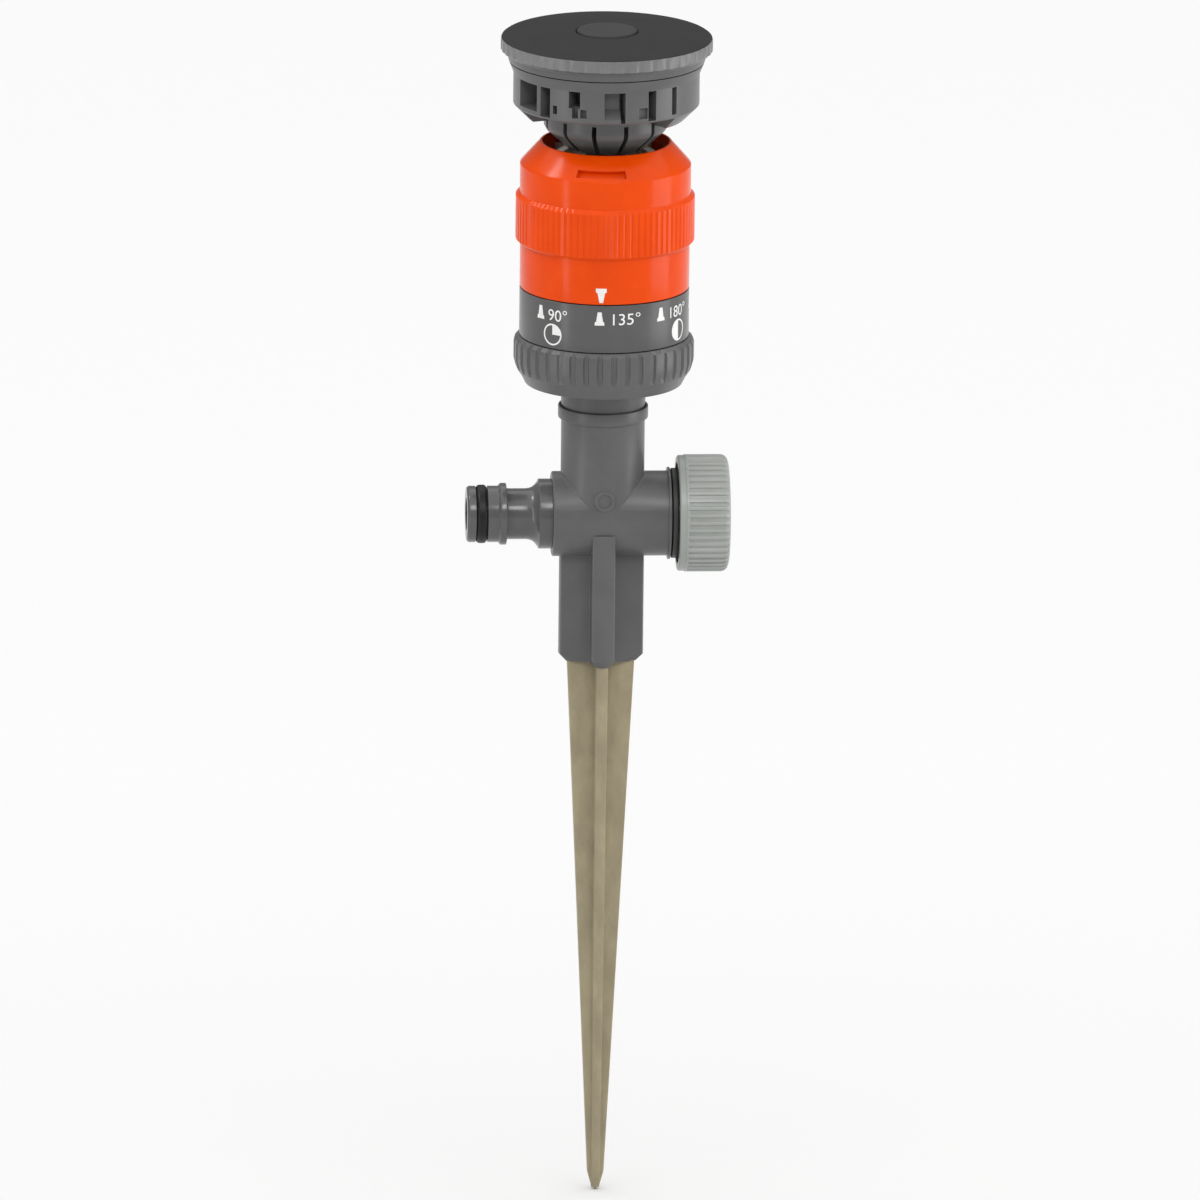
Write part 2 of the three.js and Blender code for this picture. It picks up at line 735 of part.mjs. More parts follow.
function turbineWheel() {
  const hub = tube(1.1, 4, TURBINE_BOTTOM, TURBINE_TOP, SMALL);
  const hoop = tube(TURBINE_RADIUS - 0.9, TURBINE_RADIUS, TURBINE_BOTTOM + 1.5, TURBINE_TOP - 1.5, MIDDLE);
  const reach = TURBINE_RADIUS - 0.5;
  const vane = () =>
    new THREE.BoxGeometry(reach - 3.5, 0.9, 5.2)
      .rotateX(-radians(BLADE_ANGLE))
      .translate((reach + 3.5) / 2, 0, (TURBINE_BOTTOM + TURBINE_TOP) / 2);
  return join(hub, hoop, ...around(TURBINE_BLADES, vane));
}

add(sprinkler, "stator_plate", statorPlate(), plastic(NATURAL));
add(sprinkler, "turbine_wheel", turbineWheel(), plastic(NATURAL));
add(sprinkler, "turbine_shaft", rod(1, 97.2, 110), steel());
add(
  sprinkler,
  "turbine_pinion",
  gear(PINION_TEETH, LOWER_GEARS, LOWER_GEARS + FACE_WIDTH, 1 + SEAM),
  new THREE.MeshStandardMaterial({ color: 0xc9a24a, roughness: 0.35, metalness: 1 }),
);

// ---------------------------------------------------------------- gear case

const lidScrewPlaces = LID_SCREW_ANGLES.map((angle) => [
  CASE_OFFSET + LID_SCREW_CIRCLE * Math.cos(radians(angle)),
  LID_SCREW_CIRCLE * Math.sin(radians(angle)),
]);

function gearCase() {
  const flange = rod(PLATE_RADIUS, CASE_BOTTOM, CASE_BOTTOM + 1.2, ROUND);
  const cup = rod(CASE_RADIUS, CASE_BOTTOM, CASE_TOP, ROUND).translate(CASE_OFFSET, 0, 0);
  const posts = lidScrewPlaces.map(([x, y]) => rod(2.2, CASE_BOTTOM, CASE_TOP).translate(x, y, 0));
  const cavity = rod(CASE_BORE, CASE_FLOOR, CASE_TOP + 1, ROUND).translate(CASE_OFFSET, 0, 0);
  const pilots = lidScrewPlaces.map(([x, y]) => rod(0.9, 109, CASE_TOP + 1, 12).translate(x, y, 0));
  const shaftHole = rod(1.25, CASE_BOTTOM - 1, CASE_FLOOR + 1);
  const pinHole = rod(1, 106, CASE_FLOOR + 1).translate(GEAR_DISTANCE, 0, 0);
  const ports = [120, 150, 210, 240].map((angle) =>
    rod(2, CASE_BOTTOM - 1, CASE_BOTTOM + 2, 12).translate(15.8, 0, 0).rotateZ(radians(angle)));
  return cut(join(flange, cup, ...posts), cavity, ...pilots, shaftHole, pinHole, ...ports);
}

function gearCaseLid() {
  const bottom = CASE_TOP + 0.2;
  const plate = rod(CASE_RADIUS, bottom, LID_TOP, ROUND).translate(CASE_OFFSET, 0, 0);
  const ears = lidScrewPlaces.map(([x, y]) => rod(2.2, bottom, LID_TOP).translate(x, y, 0));
  const sealSeat = tube(5, 6, LID_TOP - 0.5, 119.2, MIDDLE);
  const shaftHole = rod(SHAFT_RADIUS + CLEAR, bottom - 1, LID_TOP + 1);
  const pinHole = rod(1, bottom - 1, LID_TOP - 0.6).translate(GEAR_DISTANCE, 0, 0);
  const screwHoles = lidScrewPlaces.map(([x, y]) =>
    rod(0.95, bottom - 1, LID_TOP + 1, 12).translate(x, y, 0));
  return cut(join(plate, ...ears, sealSeat), shaftHole, pinHole, ...screwHoles);
}

add(sprinkler, "gear_case", gearCase(), plastic(DARK_GREY));
add(sprinkler, "gear_case_lid", gearCaseLid(), plastic(DARK_GREY));

lidScrewPlaces.forEach(([x, y], i) => {
  const screw = turned([[0, 109.5], [0.75, 109.5], [0.75, 116.9], [1.5, 116.9], [1.5, 118], [0, 118]], 12);
  add(sprinkler, `lid_screw_${i + 1}`, screw, steel()).position.set(x, y, 0);
});

add(layshaft, "layshaft_pin", rod(0.85, 106.3, 116), steel());

function compoundGear() {
  const bore = 1.05;
  const wheel = gear(WHEEL_TEETH, LOWER_GEARS, LOWER_GEARS + FACE_WIDTH, bore).rotateZ(Math.PI / WHEEL_TEETH);
  const pinion = gear(PINION_TEETH, LOWER_GEARS + 1, UPPER_GEARS + FACE_WIDTH + 0.3, bore)
    .rotateZ(Math.PI / PINION_TEETH);
  return join(wheel, pinion);
}

add(layshaft, "compound_gear", compoundGear(), plastic(NATURAL));
add(
  sprinkler,
  "output_gear",
  gear(WHEEL_TEETH, UPPER_GEARS, UPPER_GEARS + FACE_WIDTH, SHAFT_RADIUS + SEAM),
  plastic(NATURAL),
);
add(sprinkler, "shaft_seal", tube(SHAFT_RADIUS + 0.15, 4.8, 117.2, 119, MIDDLE), plastic(RUBBER, 0.7));

// ---------------------------------------------------------------- arc valve

const helixAt = (share) => ARC_BASE + ARC_LEAD * share;

function arcSeat() {
  const [bottom, top] = [134, 136];
  const plate = turned([
    [4.3, bottom],
    [PLATE_RADIUS, bottom],
    [PLATE_RADIUS, top],
    [6, top],
    [6, 142.5],
    [4.3, 142.5],
  ]);
  const rim = bentBar(ARC_INNER, ARC_OUTER, () => top - 0.5, helixAt).rotateZ(radians(ARC_FIXED_EDGE));
  const ports = around(8, () => rod(1.9, bottom - 1, top + 1, 12).translate(9.5, 0, 0));
  return cut(join(plate, rim), ...ports);
}

// The sleeve's helix matches the seat's. The ring has turned it open, and the helix has lifted it as far.
function arcSleeve() {
  const lift = (ARC_LEAD * ARC_AT_REST) / 360;
  const wall = bentBar(ARC_INNER, ARC_OUTER, (share) => helixAt(share) + CLEAR + lift, () => ARM_BOTTOM + 0.5)
    .rotateZ(radians(ARC_FIXED_EDGE + ARC_AT_REST));
  const hoop = tube(ARC_INNER - 0.2, ARC_OUTER + 0.3, ARM_BOTTOM, SLEEVE_TOP);
  const arm = () => block([ARC_INNER + 1, RING_MOUTH + 1.2], [-1.2, 1.2], [ARM_BOTTOM, SLEEVE_TOP]);
  return join(wall, hoop, ...around(ARMS, arm, Math.PI / 4));
}

add(sprinkler, "arc_seat", arcSeat(), plastic(NATURAL));
add(sprinkler, "shaft_bush", tube(SHAFT_RADIUS + 0.15, 4.1, 134.5, 142.3, MIDDLE), steel());
add(sprinkler, "arc_sleeve", arcSleeve(), plastic(NATURAL));

// ---------------------------------------------------------------- sector ring

function sectorRing() {
  const body = turned([
    [RING_BORE, RING_BOTTOM],
    [RING_RADIUS, RING_BOTTOM],
    [RING_RADIUS, BAND_BOTTOM],
    [BAND_RADIUS - 1, BAND_BOTTOM],
    [BAND_RADIUS, BAND_BOTTOM + 1],
    [BAND_RADIUS, BAND_TOP - 1],
    [BAND_RADIUS - 1, BAND_TOP],
    [RING_RADIUS + 0.2, BAND_TOP],
    [RING_RADIUS + 0.2, RING_SHOULDER - 0.5],
    [RING_RADIUS - 0.2, RING_SHOULDER],
    [RING_MOUTH + 0.5, RING_TOP],
    [RING_MOUTH, RING_TOP],
    [RING_MOUTH, TOWER_TOP + 0.5],
    [RING_BORE, TOWER_TOP + 0.5],
    [RING_BORE, BEAD_TOP],
    [RING_BORE - 0.5, BEAD_TOP],
    [RING_BORE - 0.5, BEAD_BOTTOM],
    [RING_BORE, BEAD_BOTTOM],
  ]);
  const spline = () =>
    block([RING_MOUTH - 1, RING_MOUTH + 1.6], [-1.5, 1.5], [TOWER_TOP - 0.5, RING_TOP - 0.8]);
  return cut(toSolid(body), ...around(ARMS, spline, Math.PI / 4));
}

add(sprinkler, "sector_ring", sectorRing(), plastic(ORANGE, 0.35));

// ---------------------------------------------------------------- spray head

const SHAFT_BOTTOM = 110.4;
const HUB_RADIUS = 5.5;
const HUB_BOTTOM = 143.9;

add(
  sprinkler,
  "output_shaft",
  turned([
    [0, SHAFT_BOTTOM],
    [SHAFT_RADIUS, SHAFT_BOTTOM],
    [SHAFT_RADIUS, SHAFT_TOP],
    [1.3, SHAFT_TOP],
    [1.3, SHAFT_TOP - 10],
    [0, SHAFT_TOP - 10],
  ], SMALL),
  steel(),
);
add(sprinkler, "thrust_washer", tube(SHAFT_RADIUS + 0.2, 5.8, 142.8, 143.6, MIDDLE), plastic(NATURAL));

// The solid teeth that stand between the windows, in degrees from the front.
function toothSpans() {
  const starts = WINDOWS.map(([, end]) => end);
  const ends = [...WINDOWS.slice(1).map(([start]) => start), WINDOWS[0][0] + 180];
  return [0, 180].flatMap((turn) => starts.map((start, i) => [start + turn, ends[i] + turn]));
}

function rotorTooth([from, to]) {
  const broad = to - from > 45;
  const bottom = broad ? SIDE_TEETH_BOTTOM : TEETH_BOTTOM;
  const tooth = toSolid(sector(ROTOR_WALL - 0.5, FLANGE_RADIUS, from, to, bottom, FLANGE_BOTTOM + 0.5));
  const profile = turned([
    [0, SIDE_TEETH_BOTTOM - 1],
    [FLANGE_RADIUS - TEETH_CHAMFER - 1, SIDE_TEETH_BOTTOM - 1],
    [FLANGE_RADIUS + 1, SIDE_TEETH_BOTTOM + TEETH_CHAMFER + 1],
    [FLANGE_RADIUS + 1, FLANGE_TOP],
    [0, FLANGE_TOP],
  ], 2 * ROUND);
  return broad ? tooth.intersect(toSolid(profile)) : tooth;
}

function streamRotor() {
  const bore = SHAFT_RADIUS + SEAM;
  const body = turned([
    [bore, HUB_BOTTOM],
    [HUB_RADIUS, HUB_BOTTOM],
    [HUB_RADIUS, 164],
    [17, 164],
    [17, 160.6],
    [15.4, 159],
    [15.4, 155],
    [13.8, 153.3],
    [11.6, 151.3],
    [10.2, 150],
    [10.2, ROTOR_BOTTOM],
    [11, ROTOR_BOTTOM],
    [15.3, 152],
    [16.7, 153.3],
    [ROTOR_WALL, 154.6],
    [ROTOR_WALL, ROTOR_SHOULDER - 0.6],
    [ROTOR_CORE, ROTOR_SHOULDER],
    [ROTOR_CORE, FLANGE_BOTTOM],
    [FLANGE_RADIUS, FLANGE_BOTTOM],
    [FLANGE_RADIUS + 1.3, FLANGE_TOP],
    [1.8, FLANGE_TOP],
    [1.8, SHAFT_TOP + CLEAR],
    [bore, SHAFT_TOP + CLEAR],
  ]);
  const slit = () =>
    block([9, ROTOR_CORE + 2], [-SLIT_WIDTH / 2, SLIT_WIDTH / 2], [ROTOR_BOTTOM - 1, SLIT_TOP]);
  const toothed = toothSpans().reduce((solid, span) => solid.add(rotorTooth(span)), toSolid(body));
  return cut(toothed, ...around(SLITS, slit, radians(FIRST_SLIT)));
}

add(sprinkler, "stream_rotor", streamRotor(), plastic(GREY));

add(
  sprinkler,
  "deflector_disc",
  turned([
    [1.7, DISC_BOTTOM],
    [7, DISC_BOTTOM],
    [7, 178],
    [25.4, 178],
    [25.4, DISC_BOTTOM],
    [27.3, DISC_BOTTOM],
    [28.2, 175.8],
    [DISC_RADIUS, DISC_RIM_BOTTOM],
    [DISC_RADIUS, DISC_RIM_TOP],
    [DISC_RADIUS - 0.7, DISC_RIM_TOP + 0.4],
    [20, 180.5],
    [BOSS_RADIUS + CLEAR, HEAD_TOP - 0.4],
    [BOSS_RADIUS + CLEAR, HEAD_TOP - 1.4],
    [4.2, HEAD_TOP - 1.4],
    [4.2, 176.6],
    [1.7, 176.6],
  ]),
  plastic(DARK_GREY),
);
add(
  sprinkler,
  "head_screw",
  turned([[0, 160], [1.2, 160], [1.2, 176.7], [3.6, 176.7], [3.6, 179.2], [0, 179.2]], SMALL),
  steel(),
);
add(
  sprinkler,
  "boss_plug",
  turned([
    [0, HEAD_TOP - 1.2],
    [BOSS_RADIUS, HEAD_TOP - 1.2],
    [BOSS_RADIUS, HEAD_TOP - 0.3],
    [BOSS_RADIUS - 0.3, HEAD_TOP],
    [0, HEAD_TOP],
  ], MIDDLE),
  plastic(DARK_GREY),
);

export default sprinkler;
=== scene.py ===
# %% [markdown]
# # A lawn sprinkler on a ground spike
# This lesson dresses the working model of a garden sprinkler: a spike, a valve body with a hose nose
# and a flow knob, a swivel base with a printed dial, an orange ring that sets the watered sector, and a
# spray head. The frame holds the exact, plain shapes and their joints. Here each visible one gets a
# finely made double with its ribs, slits and rounded edges, and every part gets the finish of its real
# material.

# %% The frame
import math

import bpy
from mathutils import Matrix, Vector


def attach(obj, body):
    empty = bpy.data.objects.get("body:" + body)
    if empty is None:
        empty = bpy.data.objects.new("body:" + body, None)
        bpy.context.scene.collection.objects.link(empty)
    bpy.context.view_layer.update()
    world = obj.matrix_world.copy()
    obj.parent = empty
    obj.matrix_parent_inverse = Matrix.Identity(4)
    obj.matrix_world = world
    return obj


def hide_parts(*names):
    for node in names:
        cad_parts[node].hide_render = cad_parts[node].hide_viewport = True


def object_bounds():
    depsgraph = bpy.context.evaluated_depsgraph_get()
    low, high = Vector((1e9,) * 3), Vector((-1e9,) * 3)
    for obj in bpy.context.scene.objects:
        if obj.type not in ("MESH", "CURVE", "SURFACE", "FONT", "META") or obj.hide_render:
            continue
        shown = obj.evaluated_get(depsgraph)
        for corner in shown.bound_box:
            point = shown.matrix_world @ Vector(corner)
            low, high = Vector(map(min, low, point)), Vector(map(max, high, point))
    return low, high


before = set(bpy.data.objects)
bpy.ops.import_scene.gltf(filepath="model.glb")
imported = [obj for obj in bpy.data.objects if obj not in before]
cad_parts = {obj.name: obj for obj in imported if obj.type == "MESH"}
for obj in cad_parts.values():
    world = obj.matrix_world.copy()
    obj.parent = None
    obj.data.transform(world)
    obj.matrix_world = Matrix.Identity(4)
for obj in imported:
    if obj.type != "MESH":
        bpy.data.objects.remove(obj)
cad_box = [list(corner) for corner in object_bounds()]
print("CAD box", cad_box)

# %% [markdown]
# ## Tools
# Nearly all of the sprinkler is turned: an outline goes round an axis. The helpers draw a chain of
# points by extruding a single vertex, as by hand, and then spin it. Lengths are written in millimetres.
# A corner of an outline may carry a third number, the radius of its fillet, as a drawing does.

# %% Sizes and selecting
MM = 0.001
FRONT = -3.6  # degrees about Z by which the head's own front is turned from the body's
FILLET_STEPS = 3
LARGEST_FILLET = 0.49  # as a share of the shorter side beside it
SECTOR_STEP = 2  # degrees between the columns of a part-turned piece
MERGE = 1e-6  # vertices nearer than this many metres are one
print("fillets have", FILLET_STEPS, "steps")


def deselect():
    if bpy.context.object and bpy.context.object.mode != "OBJECT":
        bpy.ops.object.mode_set(mode="OBJECT")
    bpy.ops.object.select_all(action="DESELECT")


def activate(piece):
    deselect()
    piece.select_set(True)
    bpy.context.view_layer.objects.active = piece


# %% [markdown]
# ## Outlines
# Every mould has rounded corners, since a sharp one would crack. Blender can bevel a finished piece,
# but then all its edges get one width. Here each corner's own fillet is drawn into the outline before
# it is turned.

# %% Drawing outlines
def rounded(outline):
    """The outline's points, with an arc of short steps wherever a corner has a fillet."""
    points = []
    for i, (across, up, *fillet) in enumerate(outline):
        corner = Vector((across, up))
        if not fillet:
            points.append(corner)
            continue
        before = Vector(outline[i - 1][:2]) - corner
        after = Vector(outline[(i + 1) % len(outline)][:2]) - corner
        reach = fillet[0] / math.tan(before.angle(after) / 2)
        reach = min(reach, LARGEST_FILLET * before.length, LARGEST_FILLET * after.length)
        start, end = corner + before.normalized() * reach, corner + after.normalized() * reach
        for step in range(FILLET_STEPS + 1):
            share = step / FILLET_STEPS
            points.append(start * (1 - share) ** 2 + corner * 2 * share * (1 - share) + end * share**2)
    return points


def chain(name, points):
    """A new mesh of edges through the points, left in edit mode with its last vertex selected."""
    deselect()
    bpy.ops.mesh.primitive_plane_add(size=MM)
    piece = bpy.context.object
    piece.name = piece.data.name = name
    bpy.ops.object.mode_set(mode="EDIT")
    bpy.ops.mesh.select_mode(type="VERT")
    bpy.ops.mesh.select_all(action="SELECT")
    bpy.ops.mesh.merge(type="CENTER")
    bpy.ops.transform.translate(value=points[0] * MM)
    for here, there in zip(points, points[1:]):
        bpy.ops.mesh.extrude_region_move(TRANSFORM_OT_translate={"value": (there - here) * MM})
    return piece


# %% [markdown]
# ## Solids from outlines
# An outline becomes a solid in one of three ways: spun all the way round, spun through part of a turn,
# or raised straight up. Each ends by merging the vertices that meet and turning the faces outwards.

# %% Turning and raising
def close_up():
    """Merges what meets and turns all faces outwards, then leaves edit mode."""
    bpy.ops.mesh.select_all(action="SELECT")
    bpy.ops.mesh.remove_doubles(threshold=MERGE)
    bpy.ops.mesh.normals_make_consistent(inside=False)
    bpy.ops.object.mode_set(mode="OBJECT")


def place(piece, turn=(0, 0, 0), move=(0, 0, 0)):
    """Turns (degrees) and moves (mm) a piece, and puts the change into its mesh."""
    activate(piece)
    piece.rotation_euler = [math.radians(angle) for angle in turn]
    piece.location = Vector(move) * MM
    bpy.ops.object.transform_apply(location=True, rotation=True, scale=True)
    return piece


def turned(name, outline, sides=128):
    """An outline of (radius, height[, fillet]) turned about Z. It is closed unless it starts on the axis."""
    points = [Vector((point.x, 0, point.y)) for point in rounded(outline)]
    piece = chain(name, points + points[:1] if points[0].x > 0 else points)
    bpy.ops.mesh.select_all(action="SELECT")
    bpy.ops.mesh.remove_doubles(threshold=MERGE)
    bpy.ops.mesh.spin(steps=sides, angle=math.tau, center=(0, 0, 0), axis=(0, 0, -1), use_auto_merge=True)
    close_up()
    return piece


def sector(name, outline, start, end):
    """A closed outline turned only from start to end, in degrees from the front towards +X."""
    points = [Vector((point.x, 0, point.y)) for point in rounded(outline)]
    piece = chain(name, points)
    bpy.ops.mesh.select_all(action="SELECT")
    bpy.ops.mesh.edge_face_add()
    steps = max(2, math.ceil((end - start) / SECTOR_STEP))
    bpy.ops.mesh.spin(
        steps=steps, angle=math.radians(end - start), center=(0, 0, 0), axis=(0, 0, -1), use_auto_merge=False
    )
    close_up()
    return place(piece, turn=(0, 0, start - 90))


def prism(name, outline, bottom, top):
    """An outline in the XY plane, raised from bottom to top."""
    piece = chain(name, [Vector((point.x, point.y, bottom)) for point in rounded(outline)])
    bpy.ops.mesh.select_all(action="SELECT")
    bpy.ops.mesh.edge_face_add()
    bpy.ops.mesh.extrude_region_move(TRANSFORM_OT_translate={"value": (0, 0, (top - bottom) * MM)})
    close_up()
    return piece


print("outlines can be turned, part-turned or raised")

# %% [markdown]
# ## Shaping
# Holes, slits and windows are cut with booleans, one for all the tools that don't touch each other.
# Ribs are pressed: the vertices in every few columns of a turned wall are scaled in towards its axis.

# %% Cutting and pressing
def apply_modifier(piece, kind, **settings):
    activate(piece)
    bpy.ops.object.modifier_add(type=kind)
    modifier = piece.modifiers[-1]
    for setting, value in settings.items():
        setattr(modifier, setting, value)
    bpy.ops.object.modifier_apply(modifier=modifier.name)


def together(pieces):
    """Joins the pieces' meshes into the first one."""
    activate(pieces[0])
    for piece in pieces:
        piece.select_set(True)
    if len(pieces) > 1:
        bpy.ops.object.join()
    return pieces[0]


def combine(piece, *tools, operation="DIFFERENCE"):
    tool = together(tools)
    apply_modifier(piece, "BOOLEAN", object=tool, operation=operation, solver="EXACT")
    bpy.data.objects.remove(tool)
    activate(piece)
    bpy.ops.object.mode_set(mode="EDIT")
    close_up()
    return piece


def pick(piece, test):
    """Goes into edit mode with those vertices selected for which test(point in mm) is true."""
    activate(piece)
    bpy.ops.object.mode_set(mode="EDIT")
    bpy.ops.mesh.select_mode(type="VERT")
    bpy.ops.mesh.select_all(action="DESELECT")
    bpy.ops.object.mode_set(mode="OBJECT")
    for vertex in piece.data.vertices:
        vertex.select = test(vertex.co / MM)
    bpy.ops.object.mode_set(mode="EDIT")


def press_grooves(piece, count, radius, depth, width, reaches, first=0):
    """Presses in a number of grooves, each width degrees wide, where reaches(radius, z) is true."""
    pitch = 360 / count

    def in_groove(point):
        angle = math.degrees(math.atan2(point.x, -point.y))
        off = (angle - first + pitch / 2) % pitch - pitch / 2
        return abs(off) <= width / 2 and reaches(math.hypot(point.x, point.y), point.z)

    pick(piece, in_groove)
    scale = (radius - depth) / radius
    bpy.ops.transform.resize(value=(scale, scale, 1), center_override=(0, 0, 0))
    bpy.ops.object.mode_set(mode="OBJECT")


def finish(piece, body, slot, material, *replaced, sharp=30):
    """Smooths a piece, gives it its material, and hands it to the frame."""
    activate(piece)
    bpy.ops.object.shade_smooth_by_angle(angle=math.radians(sharp))
    piece.data.materials.clear()
    piece.data.materials.append(material)
    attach(piece, body)
    if replaced:
        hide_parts(*replaced)
    print(piece.name, len(piece.data.polygons), "faces")


print("pieces can be cut, pressed and handed over")

# %% [markdown]
# ## Finishes
# The sprinkler is nearly all injection-moulded plastic. A mould leaves its own surface: spark erosion
# gives the grey ABS a fine, even grain that softens its gloss, while the orange and the dial come from
# smoother steel. Each material is built from the same few nodes: broad mottling in the colour, a fine
# grain in the bump and the roughness, and edges a little lighter, partly wear and partly painted
# highlight, which a small bevel in the shader finds.

# %% Colours and nodes
def linear(code, alpha=1.0):
    """An sRGB hex colour as linear RGBA."""
    values = [int(code[i : i + 2], 16) / 255 for i in (1, 3, 5)]
    return [v / 12.92 if v <= 0.04045 else ((v + 0.055) / 1.055) ** 2.4 for v in values] + [alpha]


def add_node(tree, kind, settings=None, links=None):
    """Adds a node, sets its properties and sockets in the order given, and links its inputs."""
    node = tree.nodes.new(kind)
    for name, value in (settings or {}).items():
        if isinstance(name, int) or name in node.inputs:
            node.inputs[name].default_value = value
        else:
            setattr(node, name, value)
    for name, source in (links or {}).items():
        tree.links.new(source, node.inputs[name])
    return node


# %% [markdown]
# ## One recipe for all finishes
# Broad noise mixes two close shades, as uneven cooling does in a mould. Fine noise is the texture that
# the mould's wall leaves. Where the shader's small bevel bends the normal, the surface is an edge, and
# a paler colour shows there: partly wear, partly a painted highlight along the edge. Roughness wavers a
# little with the mottling, so that highlights aren't perfectly even.

# %% The recipe
def moulded(
    name,
    colour,
    shade,
    edge_wear_and_highlight,
    roughness,
    gloss=0.3,
    metallic=0.0,
    patch=9.0,
    grain=0.45,
    grain_depth=0.012,
    stretch=(1, 1, 1),
    edge=0.25,
):
    """A shop material. patch and grain are the sizes, in mm, of its mottling and of its surface grain."""
    material = bpy.data.materials.new(name)
    material.use_nodes = True
    tree = material.node_tree
    tree.nodes.clear()
    coordinates = add_node(tree, "ShaderNodeTexCoord")
    mapping = add_node(
        tree, "ShaderNodeMapping", {"Scale": stretch}, {"Vector": coordinates.outputs["Object"]}
    )
    mottling = add_node(
        tree,
        "ShaderNodeTexNoise",
        {"Scale": 1 / (patch * MM), "Detail": 4.0, "Roughness": 0.6},
        {"Vector": mapping.outputs["Vector"]},
    )
    spread = add_node(
        tree,
        "ShaderNodeMapRange",
        {"From Min": 0.35, "From Max": 0.65},
        {"Value": mottling.outputs["Fac"]},
    )
    body = add_node(
        tree,
        "ShaderNodeMix",
        {"data_type": "RGBA", 6: linear(shade), 7: linear(colour)},
        {0: spread.outputs["Result"]},
    )
    soft = add_node(tree, "ShaderNodeBevel", {"samples": 8, "Radius": edge * MM})
    geometry = add_node(tree, "ShaderNodeNewGeometry")
    likeness = add_node(
        tree,
        "ShaderNodeVectorMath",
        {"operation": "DOT_PRODUCT"},
        {0: soft.outputs["Normal"], 1: geometry.outputs["Normal"]},
    )
    # The edge mask: edges get a paler colour, partly wear and partly a painted highlight where edges catch
    # light.
    edge_wear_and_highlight_mask = add_node(
        tree,
        "ShaderNodeMapRange",
        {"From Min": 0.995, "From Max": 0.8, "To Max": 0.55},
        {"Value": likeness.outputs["Value"]},
    )
    body_with_edge_wear_and_highlight = add_node(
        tree,
        "ShaderNodeMix",
        {"data_type": "RGBA", 7: linear(edge_wear_and_highlight)},
        {0: edge_wear_and_highlight_mask.outputs["Result"], 6: body.outputs[2]},
    )
    fine = add_node(
        tree,
        "ShaderNodeTexNoise",
        {"Scale": 1 / (grain * MM), "Detail": 2.0, "Roughness": 0.55},
        {"Vector": mapping.outputs["Vector"]},
    )
    bump = add_node(
        tree,
        "ShaderNodeBump",
        {"Strength": 1.0, "Distance": grain_depth * MM},
        {"Height": fine.outputs["Fac"]},
    )
    sheen_spread = add_node(
        tree,
        "ShaderNodeMapRange",
        {"From Min": 0.3, "From Max": 0.7, "To Min": roughness - 0.03, "To Max": roughness + 0.03},
        {"Value": mottling.outputs["Fac"]},
    )
    shader = add_node(
        tree,
        "ShaderNodeBsdfPrincipled",
        {"Metallic": metallic, "Specular IOR Level": gloss},
        {
            "Base Color": body_with_edge_wear_and_highlight.outputs[2],
            "Roughness": sheen_spread.outputs["Result"],
            "Normal": bump.outputs["Normal"],
        },
    )
    add_node(tree, "ShaderNodeOutputMaterial", links={"Surface": shader.outputs["BSDF"]})
    return material


# %% [markdown]
# ## The visible finishes
# The grain of spark-eroded ABS is some 0.05 mm across. That is far too fine to see here, so it is drawn
# about ten times as coarse. The first colour is that of the plain surface, the second a shade for the
# mottling, and the third that of the edges, partly wear and partly painted highlight. Then comes the
# roughness.

# %% The visible materials
# ABS from a spark-eroded mould: even and soft, with no clear reflection.
grey_abs = moulded("spark_eroded_grey_abs", "#5b5b5b", "#565656", "#8c8c8c", 0.34, gloss=0.36)
# ABS from a smoother mould: satin, so that the print stays easy to read.
dial_abs = moulded(
    "satin_grey_abs", "#565656", "#525252", "#8c8c8c", 0.24, gloss=0.28, grain_depth=0.004
)
# ABS from a polished mould, as a seal must slide on it: small bright highlights.
connector_abs = moulded(
    "smooth_grey_abs", "#545454", "#505050", "#8a8a8a", 0.2, gloss=0.45, grain_depth=0.002
)
# Nearly black ABS from a coarse mould: flat and dull, even under the top light.
disc_abs = moulded(
    "textured_dark_abs", "#2d2d2d", "#292929", "#6a6a6a", 0.6, gloss=0.15, grain_depth=0.02
)
# The same dark ABS, a touch smoother: the plug stands out from the disc.
plug_abs = moulded(
    "satin_dark_abs", "#373737", "#333333", "#707070", 0.5, gloss=0.2, grain_depth=0.01
)
# Mid-grey ABS, fine grained: soft highlights, so that the windows read as dark.
rotor_abs = moulded(
    "fine_grey_abs", "#5a5a5a", "#565656", "#8e8e8e", 0.34, gloss=0.36, grain_depth=0.002
)
# A paler copy of the mid-grey for the disc's ribbed rim: painted highlight where its many edges catch light.
rim_abs_painted_highlight = moulded(
    "ribbed_grey_abs_painted_highlight", "#727272", "#6c6c6c", "#a4a4a4", 0.34, gloss=0.36, grain_depth=0.002
)
# Pigmented ABS from a polished mould: strong colour with a thin, semi-gloss sheen.
orange_abs = moulded(
    "semi_gloss_orange_abs", "#e14700", "#db4300", "#ea6a34", 0.18, gloss=0.14, grain_depth=0.0015
)
# Light grey ABS with a trace of green: satin, and paler along its ribs, partly wear and partly painted
# highlight.
knob_abs = moulded(
    "satin_light_grey_abs", "#999c98", "#939692", "#bec1bd", 0.33, gloss=0.36, grain_depth=0.003
)
# Glass-filled polyamide: dull and flecked, with streaks along the flow of the melt.
champagne_polyamide = moulded(
    "glass_filled_champagne_polyamide",
    "#9e9479",
    "#8f846c",
    "#bab092",
    0.42,
    patch=5.0,
    grain=0.6,
    stretch=(1, 1, 0.45),
    grain_depth=0.02,
)
# Moulded nitrile rubber: black, with a broad, weak sheen.
nitrile = moulded("moulded_nitrile_rubber", "#161616", "#101010", "#262626", 0.45, grain_depth=0.01)

# %% [markdown]
# ## The hidden finishes
# Inside are pieces that the makers leave in their own colour: acetal gears and valve parts, turned
# steel shafts and screws, a brass pinion. They show only when the model is opened, yet each gets its
# real finish.

